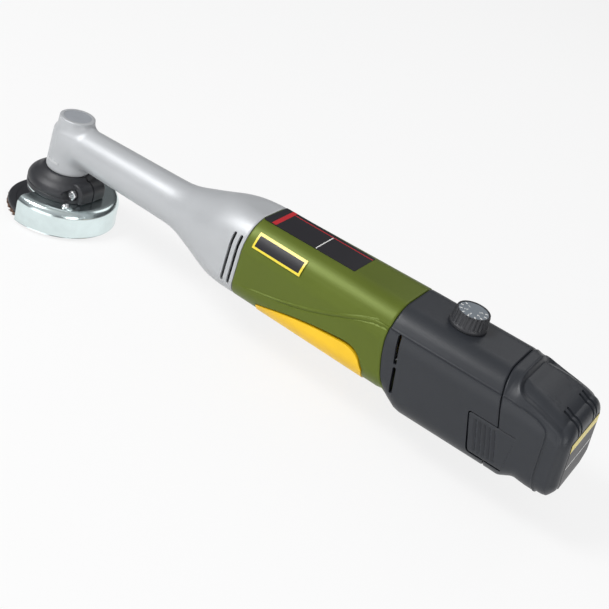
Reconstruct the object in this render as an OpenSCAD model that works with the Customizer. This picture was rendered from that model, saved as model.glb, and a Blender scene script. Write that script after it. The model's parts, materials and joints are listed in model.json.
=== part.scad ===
// Cordless long-neck grinder: a battery handle, a long cast neck and a right-angle head.
// The origin is on the spindle axis, at the seat of the abrasive disc.
// +X runs along the neck to the battery, +Z runs up the spindle axis.

/* [Disc and guard] */
// Diameter of the abrasive flap disc
disc_d = 51.8; // [48:0.2:51.8]
// Diameter of the hole in the disc
disc_bore_d = 10; // [9:0.5:11]
// Thickness of the disc backing plate
disc_backing_t = 1.6; // [1.2:0.1:2]
// Outer diameter of the guard
guard_d = 54.6; // [54.6:0.2:56]
// Depth of the guard skirt below its flat top
guard_h = 13.1; // [12:0.1:14]
// Sheet thickness of the guard
guard_t = 0.9; // [0.8:0.1:1]
// Angle of the guard skirt around the spindle
guard_angle = 196; // [180:4:228]

/* [Head and neck] */
// Height of the neck axis above the disc seat
neck_z = 34; // [33.5:0.1:34.5]
// Radius of the head casting at its lower end
head_r = 10.7; // [10.5:0.1:11]
// Radius of the flat boss on top of the head
boss_r = 8.3; // [7.8:0.1:8.4]
// Height of the boss top above the neck axis
boss_top = 12.3; // [12:0.1:13]
// Radius of the neck at the head
neck_r1 = 9.4; // [9:0.1:9.8]
// Radius of the neck where the bell starts
neck_r2 = 10.6; // [10.2:0.1:11]
// Distance from the spindle axis to the start of the bell
bell_x = 70; // [68:0.5:72]
// Distance from the spindle axis to the seam between neck and handle
seam_x = 112.8; // [110:0.2:115]

/* [Handle] */
// Half width of the handle at the neck seam
front_hw = 19.4; // [19:0.1:20]
// Half width of the handle at the battery
rear_hw = 22.1; // [21.8:0.1:22.6]
// Height of the top of the handle above the neck axis
top_h = 20.8; // [20.4:0.1:21.4]
// Depth of the front underside below the neck axis
front_drop = 17; // [16.6:0.1:17.4]
// Depth of the rear underside below the neck axis
rear_drop = 22.1; // [21.6:0.1:22.6]
// Radius of the upper edges of the handle
top_r = 14.5; // [13:0.1:15]
// Radius of the lower edges of the handle
low_r = 9.8; // [9:0.1:10.4]
// Wall thickness of the handle shells
wall = 2; // [1.7:0.1:2.1]
// Distance from the spindle axis to the seam between front and rear shells
mid_x = 186.4; // [185:0.2:188]
// Distance from the spindle axis to the battery seam
pack_x = 241.6; // [241:0.1:242]
// Distance from the spindle axis to the rear face of the battery
end_x = 270.9; // [270:0.1:272]
// Depth of the battery underside below the neck axis
pack_drop = 18.7; // [18.2:0.1:19.2]

/* [Motor and drive] */
// Diameter of the motor can
motor_d = 27.7; // [26:0.1:27.8]
// Length of the motor can
motor_l = 33; // [31:0.5:33]
// Diameter of the drive shaft
shaft_d = 4; // [3.5:0.1:4.2]
// Diameter of the spindle
spindle_d = 6; // [5.6:0.1:6.2]
// Number of teeth on the spindle gear
gear_teeth = 16; // [16:2:18]
// Number of teeth on the pinion
pinion_teeth = 10; // [9:1:10]

/* [Controls] */
// Distance from the spindle axis to the speed dial axis
dial_x = 209.5; // [208.5:0.1:210]
// Radius of the dial face
dial_r = 7; // [6.4:0.1:7.1]
// Radius of the dial at its base
dial_base_r = 8.2; // [7.6:0.1:8.3]
// Height of the dial
dial_h = 6.9; // [6.2:0.1:7.2]
// Rear end of the paddle switch
paddle_x = 182; // [181:0.1:182.4]
// Upward travel of the paddle at its rear end
paddle_travel = 1; // [0.8:0.1:1.1]
// Diameter of a battery cell
cell_d = 18; // [17:0.1:18.1]
// Length of a battery cell
cell_l = 35; // [33:0.5:35]

/* [Hidden] */

$fn = 48;
gap = 0.3;
run = 0.05;
far = 200;

// Heights in the part's own frame
top_z = neck_z + top_h;
front_z = neck_z - front_drop;
rear_z = neck_z - rear_drop;
pack_z = neck_z - pack_drop;
boss_z = neck_z + boss_top;
disc_r = disc_d / 2;
guard_r = guard_d / 2;
guard_top = 9.4;
guard_edge_r = 3.4;
clamp_low_z = guard_top;
clamp_top_z = 20.4;
clamp_r = 18;
collar_r = 10.2;
seam_curve_r = 60;
seam_curve_z = neck_z + 14;
seam_bend_z = neck_z + 1;
seam_lean = 0.34;
step_x1 = mid_x + 4;
step_x2 = mid_x + 15;
spigot_l = 6;
motor_x = seam_x + spigot_l + 0.3;
motor_end = motor_x + motor_l;
motor_r = motor_d / 2;
vent_w = 1.5;

// Extrudes an outline drawn in Y and Z along X
module along_x(x0, x1) {
    translate([x0, 0, 0])
        rotate([90, 0, 90])
            linear_extrude(x1 - x0) children();
}

// Extrudes an outline drawn in X and Z to both sides of the middle plane
module across_y(y0, y1) {
    translate([0, y1, 0])
        rotate([90, 0, 0])
            linear_extrude(y1 - y0) children();
}

// A cylinder along X
module rod_x(x0, x1, r, y = 0, z = neck_z) {
    translate([x0, y, z])
        rotate([0, 90, 0])
            cylinder(h = x1 - x0, r = r);
}

// A cylinder along Y
module rod_y(y0, y1, r, x, z) {
    translate([x, y1, z])
        rotate([90, 0, 0])
            cylinder(h = y1 - y0, r = r);
}

// A ring about the X axis at the height of the neck
module ring_x(x0, x1, r_out, r_in) {
    difference() {
        rod_x(x0, x1, r_out);
        rod_x(x0 - 1, x1 + 1, r_in);
    }
}

// A ring about the spindle axis
module ring_z(z0, z1, r_out, r_in) {
    difference() {
        translate([0, 0, z0]) cylinder(h = z1 - z0, r = r_out);
        translate([0, 0, z0 - 1]) cylinder(h = z1 - z0 + 2, r = r_in);
    }
}

// Cross section of the handle: flat sides, large upper and smaller lower corners
module section(hw, zt, zb, rt, rb) {
    for (s = [-1, 1]) {
        translate([s * (hw - rt), zt - rt]) circle(rt);
        translate([s * (hw - rb), zb + rb]) circle(rb);
    }
    translate([rt - hw, zt - rt - 1]) square([2 * (hw - rt), rt + 1]);
    translate([-hw, zb + rb]) square([2 * hw, zt - rt - zb - rb]);
    translate([rb - hw, zb]) square([2 * (hw - rb), zt - rt - zb]);
}

// Plan outline of the handle, drawn in by the same amount on every side
module plan_outline(inset) {
    tail = end_x - inset;
    side = rear_hw - inset;
    polygon([[seam_x - 60, front_hw - 1.9 - inset], [seam_x, front_hw - inset],
        [mid_x + 4, rear_hw - 0.2 - inset], [pack_x, side], [tail - 8, side],
        [tail - 2, side - 2.4], [tail, side - 5], [tail, 5 - side], [tail - 2, 2.4 - side],
        [tail - 8, -side], [pack_x, -side], [mid_x + 4, inset - rear_hw + 0.2],
        [seam_x, inset - front_hw], [seam_x - 60, inset - front_hw + 1.9]]);
}

// Front part of the handle, with its shallow underside
module front_form(inset, x0, x1) {
    intersection() {
        along_x(x0, x1)
            section(rear_hw - inset, top_z - inset, front_z + inset,
                top_r - inset, low_r - inset);
        linear_extrude(far) plan_outline(inset);
    }
}

// Rear part of the handle, whose underside is deeper behind a sloping step
module rear_form(inset, x0, x1) {
    intersection() {
        along_x(x0, x1)
            section(rear_hw - inset, top_z - inset, rear_z + inset,
                top_r - inset, low_r - inset);
        linear_extrude(far) plan_outline(inset);
        across_y(-far, far)
            polygon([[step_x1 - 20, front_z + inset], [step_x1, front_z + inset],
                [step_x2, rear_z + inset], [pack_x + 9, rear_z + inset],
                [pack_x + 14, pack_z + inset], [end_x - 6, pack_z + inset],
                [end_x - inset - 0.6, pack_z + 5], [end_x - inset, pack_z + 8],
                [end_x - 2.4 - inset, neck_z + 7.5 - inset],
                [end_x - 5.4, neck_z + 16 - inset], [pack_x + 5, top_z - inset],
                [pack_x + 5, far], [step_x1 - 20, far]]);
    }
}

// Side view of everything behind the seam between front and rear shells
module behind_seam() {
    translate([mid_x + seam_curve_r, seam_curve_z]) circle(seam_curve_r);
    translate([mid_x + seam_curve_r, 0]) square([far, far]);
    translate([mid_x, seam_curve_z]) square([far, far]);
}

// Side view of everything behind the battery seam, which leans forward at its top
module behind_pack(clear) {
    polygon([[pack_x + clear, 0], [pack_x + clear, seam_bend_z],
        [pack_x + clear - (far - seam_bend_z) * seam_lean, far], [2 * far, far], [2 * far, 0]]);
}

// Radius of the flare between neck and handle, from its start to the handle seam
module bell_profile(inset) {
    polygon([[bell_x - 4, 0], [bell_x - 4, neck_r2 - inset], [bell_x, neck_r2 + 0.5 - inset],
        [bell_x + 6, 13.2 - inset], [bell_x + 12, 15.3 - inset], [bell_x + 17, 17 - inset],
        [bell_x + 22, 19 - inset], [bell_x + 27, 20.7 - inset], [bell_x + 32, 22 - inset],
        [bell_x + 37, 23 - inset], [seam_x + 1, 23.6 - inset], [seam_x + 1, 0]]);
}

module bell_form(inset) {
    intersection() {
        translate([0, 0, neck_z])
            rotate([0, 90, 0])
                rotate_extrude() rotate(90) mirror([0, 1]) bell_profile(inset);
        front_form(inset, bell_x - 10, seam_x);
    }
}

// Two upright air slots on each side of the bell
module bell_vents() {
    for (x = [seam_x - 5.7, seam_x - 2.3])
        across_y(-far, far)
            slot_outline(x, neck_z - 9.4, x, neck_z + 12.6, vent_w / 2);
}

// A straight slot with round ends, drawn in X and Z
module slot_outline(x0, z0, x1, z1, r) {
    length = norm([x1 - x0, z1 - z0]);
    turn = atan2(z1 - z0, x1 - x0);
    translate([x0, z0]) circle(r);
    translate([x1, z1]) circle(r);
    translate([x0, z0]) rotate(turn) translate([0, -r]) square([length, 2 * r]);
}

// Bearing seats
small_bearing_r = 6.5;
small_bearing_w = 5;
head_bearing_r = 7.5;
head_bearing_w = 5;
top_bearing_r = 6.5;
top_bearing_w = 5;
low_bearing_z = 18.6;
top_bearing_z = boss_z - 2.2 - top_bearing_w;
front_bearing_x = 13.5;
rear_bearing_x = bell_x + 12;
gear_room_r = 8.4;
cap_t = 2;

module gear_housing() {
    color("lightgray")
    difference() {
        union() {
            // head, widening a little to its lower end
            rotate_extrude()
                polygon([[0, clamp_top_z - 6], [collar_r, clamp_top_z - 6],
                    [collar_r, clamp_top_z], [head_r, clamp_top_z], [9.98, neck_z + 4.6],
                    [9.7, neck_z + 5.8], [boss_r + 0.4, neck_z + 7.2],
                    [boss_r + 0.1, neck_z + 8], [boss_r, boss_z - 0.3],
                    [boss_r - 0.3, boss_z], [0, boss_z]]);
            translate([2, 0, neck_z])
                rotate([0, 90, 0])
                    cylinder(h = bell_x - 3, r1 = neck_r1, r2 = neck_r2);
            bell_form(0);
            difference() {
                front_form(wall + 0.05, seam_x - 2.2, seam_x + spigot_l);
                difference() {
                    along_x(seam_x + 2, seam_x + 4) square([far, far], center = true);
                    front_form(wall + 1.2, seam_x, seam_x + spigot_l);
                }
            }
        }
        // gear chamber, bearing seats and the bores for the shafts
        translate([0, 0, low_bearing_z + head_bearing_w])
            cylinder(h = top_bearing_z - low_bearing_z - head_bearing_w - 1, r = gear_room_r - 0.4);
        translate([0, 0, clamp_top_z - 7])
            cylinder(h = low_bearing_z + head_bearing_w - clamp_top_z + 7, r = head_bearing_r);
        translate([0, 0, top_bearing_z]) cylinder(h = top_bearing_w, r = top_bearing_r);
        translate([0, 0, top_bearing_z - 2]) cylinder(h = 3, r = top_bearing_r - 1);
        translate([0, 0, boss_z - 2.3]) cylinder(h = 3, r = top_bearing_r);
        rod_x(0, front_bearing_x, small_bearing_r - 0.8);
        rod_x(front_bearing_x, rear_bearing_x + small_bearing_w, small_bearing_r);
        rod_x(rear_bearing_x + small_bearing_w - 0.1, bell_x + 24, 9.5);
        intersection() {
            bell_form(2.4);
            rod_x(bell_x + 20, seam_x - 2, far);
        }
        front_form(wall + 2.2, seam_x - 3, seam_x + spigot_l + 1);
        bell_vents();
    }
}

module head_cap() {
    color("gray")
    translate([0, 0, boss_z - 2.15]) cylinder(h = cap_t, r = top_bearing_r);
}

module bearing_z(z0, w, r_out, r_in) {
    ring_z(z0, z0 + w, r_out, r_in);
}

module upper_bearing() {
    color("silver")
    bearing_z(top_bearing_z, top_bearing_w, top_bearing_r, spindle_d / 2 - 1 + run);
}

module lower_bearing() {
    color("silver")
    bearing_z(low_bearing_z, head_bearing_w, head_bearing_r, spindle_d / 2 + run);
}

// Threaded ring that closes the head below the lower bearing
module bearing_retainer() {
    color("dimgray")
    ring_z(low_bearing_z - 4, low_bearing_z, head_bearing_r, 5.4);
}

module front_shaft_bearing() {
    color("silver")
    ring_x(front_bearing_x, front_bearing_x + small_bearing_w, small_bearing_r,
        shaft_d / 2 + run);
}

module rear_shaft_bearing() {
    color("silver")
    ring_x(rear_bearing_x, rear_bearing_x + small_bearing_w, small_bearing_r,
        shaft_d / 2 + run);
}

// Spindle and what turns with it
flange_r = 5;
flange_h = 8;
pilot_h = disc_backing_t;
screw_r = 2;

module spindle() {
    color("silver")
    difference() {
        union() {
            translate([0, 0, flange_h]) cylinder(h = 26, r = spindle_d / 2);
            translate([0, 0, flange_h + 25])
                cylinder(h = top_bearing_z + top_bearing_w - flange_h - 25.2,
                    r = spindle_d / 2 - 1);
        }
        translate([0, 0, flange_h - 1]) cylinder(h = 12, r = screw_r);
    }
}

// Bevel gear sizes: both pitch cones meet where the spindle and shaft axes cross
module_size = 0.8;
gear_pitch_r = gear_teeth * module_size / 2;
pinion_pitch_r = pinion_teeth * module_size / 2;
cone_l = norm([gear_pitch_r, pinion_pitch_r]);
face_l = 2.6;
gear_cone = atan2(gear_pitch_r, pinion_pitch_r);
pinion_cone = 90 - gear_cone;
tooth_up = 0.5;
tooth_down = 0.75;
tooth_w = module_size * PI / 2 - 0.24;
tooth_slope = tan(20);

// One tooth that tapers to the cone tip at the origin, for a gear below it on the Z axis
module bevel_tooth(cone) {
    function corner(l, h, w) = let (k = l / cone_l)
        [l * sin(cone) + k * h * cos(cone), k * w, -l * cos(cone) + k * h * sin(cone)];
    w_top = tooth_w / 2 - tooth_up * tooth_slope;
    w_low = tooth_w / 2 + tooth_down * tooth_slope;
    near = cone_l - face_l;
    polyhedron(points = [corner(cone_l, -tooth_down, -w_low), corner(cone_l, -tooth_down, w_low),
            corner(cone_l, tooth_up, w_top), corner(cone_l, tooth_up, -w_top),
            corner(near, -tooth_down, -w_low), corner(near, -tooth_down, w_low),
            corner(near, tooth_up, w_top), corner(near, tooth_up, -w_top)],
        faces = [[3, 2, 1, 0], [4, 5, 6, 7], [0, 1, 5, 4], [1, 2, 6, 5], [2, 3, 7, 6],
            [3, 0, 4, 7]]);
}

// A bevel gear below the origin: a cone blank under the tooth roots, with its teeth
module bevel_gear(cone, teeth, hub_r, hub_l, turn) {
    root = tooth_down - 0.12;
    near = cone_l - face_l;
    r_far = cone_l * sin(cone) - root * cos(cone);
    z_far = -cone_l * cos(cone) - root * sin(cone);
    r_near = r_far * near / cone_l;
    z_near = z_far * near / cone_l;
    rotate_extrude()
        polygon([[0, z_near], [r_near, z_near], [r_far, z_far], [r_far, z_far - 0.8],
            [hub_r, z_far - 1.4], [hub_r, z_far - hub_l], [0, z_far - hub_l]]);
    for (i = [0:teeth - 1])
        rotate([0, 0, turn + i * 360 / teeth]) bevel_tooth(cone);
}

module spindle_gear() {
    color("slategray")
    difference() {
        translate([0, 0, neck_z]) bevel_gear(gear_cone, gear_teeth, 4.6, 3.6, 0);
        cylinder(h = far, r = spindle_d / 2);
    }
}

module pinion() {
    color("slategray")
    difference() {
        translate([0, 0, neck_z])
            rotate([0, -90, 0])
                bevel_gear(pinion_cone, pinion_teeth, 3.2, 4.6, 180 / pinion_teeth);
        rod_x(-1, far, shaft_d / 2 - 0.5);
    }
}

module drive_shaft() {
    color("silver")
    union() {
        rod_x(cone_l * cos(pinion_cone) - face_l * 0.7, front_bearing_x - 0.6, shaft_d / 2 - 0.5);
        rod_x(front_bearing_x - 0.7, rear_bearing_x + 12, shaft_d / 2);
    }
}

// Two-piece disc clamping: a flange with a pilot, and a countersunk screw below
module inner_flange() {
    color("darkgray")
    difference() {
        union() {
            cylinder(h = 3, r = 9);
            cylinder(h = flange_h, r = flange_r);
            translate([0, 0, flange_h - 0.5]) cylinder(h = 5.8, r = 4.2);
            translate([0, 0, -pilot_h + 0.2]) cylinder(h = 2, r = disc_bore_d / 2 - run);
        }
        translate([0, 0, flange_h]) cylinder(h = 12, r = spindle_d / 2);
        translate([0, 0, -5]) cylinder(h = 20, r = screw_r);
    }
}

module disc_backing() {
    color([0.12, 0.12, 0.13])
    difference() {
        union() {
            translate([0, 0, -disc_backing_t]) cylinder(h = disc_backing_t, r = disc_r - 0.9);
            translate([0, 0, -disc_backing_t]) cylinder(h = disc_backing_t - 0.5, r = disc_r - 0.4);
        }
        translate([0, 0, -5]) cylinder(h = 10, r = disc_bore_d / 2);
    }
}

// Overlapping abrasive flaps under the rim of the backing plate
flap_count = 24;
flap_w = 5.2;

module disc_flaps() {
    color([0.42, 0.3, 0.24])
    intersection() {
        union() {
            ring_z(-disc_backing_t - 1.6, -disc_backing_t, disc_r - 0.4, disc_r - 10);
            for (i = [0:flap_count - 1])
                rotate([0, 0, i * 360 / flap_count])
                    translate([disc_r - 10.5, 0, -disc_backing_t - 1.3])
                        rotate([-14, 0, 0])
                            translate([0, 0, -1.2]) cube([11, flap_w, 1.2]);
        }
        translate([0, 0, -far - disc_backing_t]) cylinder(h = far, r = disc_r);
    }
}

module outer_flange() {
    color("darkgray")
    difference() {
        translate([0, 0, -disc_backing_t - 1.2]) cylinder(h = 1.2, r = 8);
        translate([0, 0, -6]) cylinder(h = 8, r = screw_r + 0.1);
    }
}

module disc_screw() {
    color("silver")
    difference() {
        union() {
            translate([0, 0, -disc_backing_t - 2.6]) cylinder(h = 1.4, r = 4);
            translate([0, 0, -disc_backing_t - 1.3]) cylinder(h = 17, r = screw_r);
        }
        translate([0, 0, -disc_backing_t - 4]) cylinder(h = 3.2, r = 1.5, $fn = 6);
    }
}

// Guard: a flat plate with a rounded edge and a skirt, cut to its angle
module guard() {
    color([0.78, 0.84, 0.85])
    difference() {
        intersection() {
            rotate_extrude()
                difference() {
                    guard_outline(0);
                    guard_outline(guard_t);
                }
            guard_sector();
        }
        for (a = rivet_angles)
            rotate([0, 0, a])
                translate([rivet_place_r, 0, guard_top - 3]) cylinder(h = 5, r = rivet_r);
    }
}

// Half section of the guard, from the clamp opening to the lower rim
module guard_outline(inset) {
    r_edge = guard_edge_r;
    difference() {
        union() {
            translate([hub_r + run, guard_top - guard_h])
                square([guard_r - hub_r - run - r_edge, guard_h - inset]);
            translate([hub_r + run, guard_top - guard_h])
                square([guard_r - inset - hub_r - run, guard_h - r_edge]);
            translate([guard_r - r_edge, guard_top - r_edge]) circle(r_edge - inset);
        }
        translate([-1, guard_top - guard_h - 1]) square([far, 1]);
    }
}

module guard_sector() {
    half = guard_angle / 2;
    linear_extrude(far, center = true)
        polygon([[0, 0], [far * cos(half), -far * sin(half)], [far, -far], [far, far],
            [far * cos(half), far * sin(half)]]);
    translate([0, 0, -far]) cylinder(h = 2 * far, r = clamp_r - 0.6);
}

// Split clamp ring that holds the guard on the head's collar
hub_r = 13.4;
under_flange_r = 22.6;
under_flange_t = 1.4;
under_flange_z = guard_top - guard_t - under_flange_t;
rivet_place_r = 20.4;
rivet_r = 1.1;
rivet_angles = [-45, 75];
split_w = 1.6;
clamp_screw_x = 13.2;
clamp_screw_z = 13.6;
lug_y = 8.4;
lug_r = 4.9;

module guard_clamp() {
    color([0.2, 0.2, 0.22])
    difference() {
        union() {
            rotate_extrude()
                polygon([[collar_r + run, under_flange_z], [clamp_r - 0.6, under_flange_z],
                    [clamp_r - 0.6, guard_top - guard_t], [hub_r, guard_top - guard_t],
                    [hub_r, clamp_low_z], [clamp_r, clamp_low_z], [clamp_r, clamp_low_z + 4],
                    [clamp_r - 0.8, clamp_low_z + 5.8], [clamp_r - 2.6, clamp_low_z + 7.4],
                    [13.6, clamp_top_z - 2.2], [11.4, clamp_top_z - 0.3],
                    [collar_r + run, clamp_top_z - 0.2]]);
            intersection() {
                ring_z(under_flange_z, guard_top - guard_t, under_flange_r, clamp_r - 1);
                guard_sector();
            }
            difference() {
                union() {
                    rod_y(-lug_y, lug_y, lug_r, clamp_screw_x, clamp_screw_z);
                    translate([clamp_screw_x, -lug_y, clamp_low_z])
                        cube([lug_r, 2 * lug_y, clamp_screw_z - clamp_low_z]);
                }
                translate([0, -far, clamp_low_z - far]) cube([far, 2 * far, far]);
                translate([0, 0, clamp_low_z - 1]) cylinder(h = far, r = collar_r + 0.6);
            }
        }
        translate([collar_r - 2, -split_w / 2, clamp_low_z - 6]) cube([20, split_w, 22]);
        rod_y(-far, far, 1.35, clamp_screw_x, clamp_screw_z);
        rod_y(-20, -lug_y, 2.9, clamp_screw_x, clamp_screw_z);
        rod_y(lug_y, 20, 3, clamp_screw_x, clamp_screw_z);
        for (a = rivet_angles)
            rotate([0, 0, a])
                translate([rivet_place_r, 0, clamp_low_z - 6]) cylinder(h = 6, r = rivet_r);
    }
}

module clamp_screw() {
    color("white")
    difference() {
        union() {
            rod_y(-lug_y - 2.5, -lug_y, 2.25, clamp_screw_x, clamp_screw_z);
            rod_y(-lug_y - 0.1, lug_y + 2, 1.25, clamp_screw_x, clamp_screw_z);
        }
        translate([clamp_screw_x, -lug_y - 1.2, clamp_screw_z])
            rotate([90, 0, 0]) cylinder(h = 4, r = 1.15, $fn = 6);
    }
}

module clamp_nut() {
    color("silver")
    difference() {
        translate([clamp_screw_x, lug_y + 2, clamp_screw_z])
            rotate([90, 0, 0]) cylinder(h = 2, r = 2.6, $fn = 6);
        rod_y(0, far, 1.25, clamp_screw_x, clamp_screw_z);
    }
}

// Two small screws that fix the guard plate to the flange under it
module guard_screws() {
    color("white")
    for (a = rivet_angles)
        rotate([0, 0, a])
            translate([rivet_place_r, 0, 0]) {
                translate([0, 0, guard_top]) cylinder(h = 1.4, r = 1.9);
                translate([0, 0, guard_top - guard_t - under_flange_t])
                    cylinder(h = guard_t + under_flange_t + 0.1, r = rivet_r);
            }
}

// Green front shells
screw_places = [[156.5, 50], [184, 49.6], [186, 22.6]];
rear_screw_places = [[200.4, 49.6], [201, 18.4]];
boss_out_r = 3;
boss_in_r = 1.5;

// Side view of the paddle; a rise moves its upper edge, a grow its two ends
module paddle_outline(rise, grow) {
    tip = 126.7;
    polygon([[tip - grow, 0], [tip - grow, 22 + rise * 0.3], [136, 24.9 + rise * 0.4],
        [146, 27.2 + rise * 0.6], [156, 28.9 + rise * 0.7], [164, 29.8 + rise * 0.8],
        [171, 30.9 + rise], [175.4, 30.2 + rise], [179, 27.8 + rise],
        [paddle_x - 0.8 + grow * 0.8, 25 + rise], [paddle_x + grow, 21.6 + rise],
        [paddle_x + grow, 0]]);
}

tip_clear_x = 124.5;

module motor_ribs() {
    for (x = [motor_x + 3, motor_x + 29])
        difference() {
            front_form(wall / 2, x, x + 2);
            rod_x(x - 1, x + 3, motor_r + run);
            across_y(-far, far)
                translate([tip_clear_x, -1]) square([far, neck_z - 1]);
        }
}

module front_shell() {
    difference() {
        union() {
            difference() {
                front_form(0, seam_x, mid_x + 12);
                front_form(wall, seam_x - 1, mid_x + 14);
            }
            difference() {
                front_form(wall / 2, seam_x + 2.1, seam_x + 3.9);
                front_form(wall + 1.1, seam_x, seam_x + 6);
            }
            motor_ribs();
            switch_ribs();
            intersection() {
                front_form(wall / 2, seam_x, mid_x + 12);
                for (p = screw_places)
                    rod_y(-far, far, boss_out_r, p[0], p[1]);
            }
            paddle_ears();
        }
        across_y(-far, far) behind_seam();
        difference() {
            across_y(-far, far) paddle_outline(paddle_travel + gap, gap);
            front_form(wall + 0.35, 100, 200);
        }
    }
}

ear_x = 131;
ear_z = 23;
ear_r = 2.6;
pin_r = 1.25;

// Ears of the shell that carry the paddle's pivot pins
module paddle_ears() {
    for (s = [-1, 1])
        difference() {
            intersection() {
                union() {
                    front_form(wall + 0.8, 100, 200);
                    translate([100, -far, ear_z + 3.4]) cube([60, 2 * far, 4]);
                }
                front_form(wall / 2, 100, 200);
                union() {
                    rod_y(s * 15.9 - 1.6, s * 15.9 + 1.6, ear_r, ear_x, ear_z);
                    translate([ear_x - ear_r, s > 0 ? 14.3 : -far, ear_z])
                        cube([2 * ear_r, far - 14.3, 7]);
                }
            }
            rod_y(-far, far, pin_r, ear_x, ear_z);
        }
}

motor_to_switch = 7.9;
switch_x0 = motor_end + motor_to_switch;
switch_x1 = switch_x0 + 18;
switch_hw = 6;
switch_z0 = 28;
switch_z1 = 40;
board_z = 43;
board_t = 1.6;

// Ribs that hold the switch body and the board
module switch_ribs() {
    for (x = [switch_x0 - 2.1, switch_x1 + 0.1])
        difference() {
            intersection() {
                front_form(wall / 2, x, x + 2);
                translate([x - 1, -far, 33]) cube([4, 2 * far, board_z - 33]);
            }
            translate([x - 1, -4, 30]) cube([4, 8, 20]);
            translate([x - 1, -9.2, switch_z1 + 0.4]) cube([4, 18.4, 20]);
        }
}

module half_left() {
    translate([-far, -far, -far]) cube([3 * far, far, 3 * far]);
}

module half_right() {
    translate([-far, 0, -far]) cube([3 * far, far, 3 * far]);
}

// Screws go in from the right side, so the left bosses are blind
module screw_holes(places) {
    for (p = places) {
        rod_y(-10, far, boss_in_r, p[0], p[1]);
        rod_y(10, far, boss_in_r + 1.4, p[0], p[1]);
    }
}

module housing_left() {
    color([0.36, 0.44, 0.2])
    difference() {
        intersection() {
            front_shell();
            half_left();
        }
        screw_holes(screw_places);
    }
}

module housing_right() {
    color([0.36, 0.44, 0.2])
    difference() {
        intersection() {
            front_shell();
            half_right();
        }
        screw_holes(screw_places);
    }
}

module housing_screws() {
    color("silver")
    for (p = concat(screw_places, rear_screw_places)) {
        rod_y(-9, 10.1, boss_in_r, p[0], p[1]);
        rod_y(10, 12.4, boss_in_r + 1.2, p[0], p[1]);
    }
}

// Black rear shells
latch_x0 = 229;
latch_z0 = 17.9;
latch_x1 = 249.6;
latch_z1 = 34.6;

// Side view of the latch tongue, which starts in the handle and ends in the battery
module latch_outline(grow) {
    foot_x = latch_x0 + (latch_z1 - latch_z0) * seam_lean;
    polygon([[foot_x - grow, latch_z0 - grow], [latch_x1 + grow, latch_z0 - grow],
        [latch_x1 + grow, latch_z1 + grow], [latch_x0 - grow, latch_z1 + grow]]);
}

// Two slanted air slots on each side, one below the other
module rear_vents() {
    across_y(-far, far) {
        translate([mid_x + 8.2, neck_z + 1.2]) rotate(12) square([vent_w, 11.4]);
        translate([mid_x + 10.6, neck_z - 11.6]) rotate(10) square([vent_w, 11]);
    }
}

module rear_shell() {
    difference() {
        union() {
            difference() {
                rear_form(0, mid_x - 1, pack_x);
                rear_form(wall, mid_x - 2, pack_x + 1);
            }
            intersection() {
                rear_form(wall / 2, mid_x, pack_x);
                for (p = rear_screw_places)
                    rod_y(-far, far, boss_out_r, p[0], p[1]);
            }
            terminal_ribs();
        }
        difference() {
            translate([mid_x - 10, -far, 0]) cube([50, 2 * far, far]);
            across_y(-far, far) behind_seam();
        }
        rear_vents();
        across_y(-far, far) behind_pack(0);
        translate([dial_x, 0, neck_z]) cylinder(h = far, r = dial_shaft_r + 0.6);
        across_y(-far, far) latch_outline(gap);
    }
}

terminal_x0 = 205;
terminal_x1 = 212;
terminal_z0 = 24;
terminal_z1 = 38;

// Ribs that hold the terminal block
module terminal_ribs() {
    for (s = [-1, 1])
        intersection() {
            rear_form(wall / 2, terminal_x0, terminal_x0 + 4);
            translate([terminal_x0 + 1, s > 0 ? 15.05 : -far, terminal_z0 + 3])
                cube([2, far - 15.05, 8]);
        }
}

module rear_housing_left() {
    color([0.22, 0.23, 0.25])
    difference() {
        intersection() {
            rear_shell();
            half_left();
        }
        screw_holes(rear_screw_places);
    }
}

module rear_housing_right() {
    color([0.22, 0.23, 0.25])
    difference() {
        intersection() {
            rear_shell();
            half_right();
        }
        screw_holes(rear_screw_places);
    }
}

// Motor: can, magnets, end cap, rotor, commutator, brushes and fan
can_t = 1;

module motor_can() {
    color("gray")
    difference() {
        rod_x(motor_x, motor_end, motor_r);
        rod_x(motor_x + 1.4, motor_end + 1, motor_r - can_t);
        rod_x(motor_x - 1, motor_x + 2, 3);
    }
}

module motor_magnets() {
    color([0.25, 0.25, 0.27])
    for (s = [0, 180])
        translate([0, 0, neck_z])
            rotate([s, 0, 0])
                intersection() {
                    translate([0, 0, -neck_z])
                        ring_x(motor_x + 5, motor_end - 5, motor_r - can_t, motor_r - can_t - 2.4);
                    translate([motor_x, -8.6, 0]) cube([motor_l, 17.2, motor_r]);
                }
}

module motor_end_cap() {
    color([0.15, 0.15, 0.16])
    difference() {
        union() {
            rod_x(motor_end, motor_end + 3, motor_r - 0.6);
            rod_x(motor_end - 2, motor_end + 0.5, motor_r - can_t);
            for (s = [-1, 1])
                translate([motor_end - 0.5, s * 7.6 - 2.4, neck_z - 2.4]) cube([5.5, 4.8, 4.8]);
        }
        rod_x(motor_end - 3, motor_end + 8, 3.7);
        for (s = [-1, 1])
            translate([motor_end - 3, s * 7.2 - 3.6, neck_z - 1.4]) cube([7, 7.2, 2.8]);
    }
}

rotor_shaft_r = 1.5;

module rotor() {
    color("peru")
    union() {
        rod_x(rear_bearing_x + 12.2, motor_end + 4, rotor_shaft_r);
        rod_x(motor_x + 5, motor_end - 6, 8.6);
        rod_x(motor_x + 3.4, motor_end - 4.4, 6.2);
    }
}

module commutator() {
    color("orange")
    ring_x(motor_end - 3.6, motor_end + 3.4, 3.4, rotor_shaft_r);
}

// Carbon brushes, one each side of the commutator
module motor_brushes() {
    color([0.1, 0.1, 0.1])
    for (s = [-1, 1])
        translate([motor_end - 0.2, s * 6.6 - 2.8, neck_z - 1.3]) cube([3, 5.6, 2.6]);
}

fan_x = seam_x - 9;
fan_r = 13.8;

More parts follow.
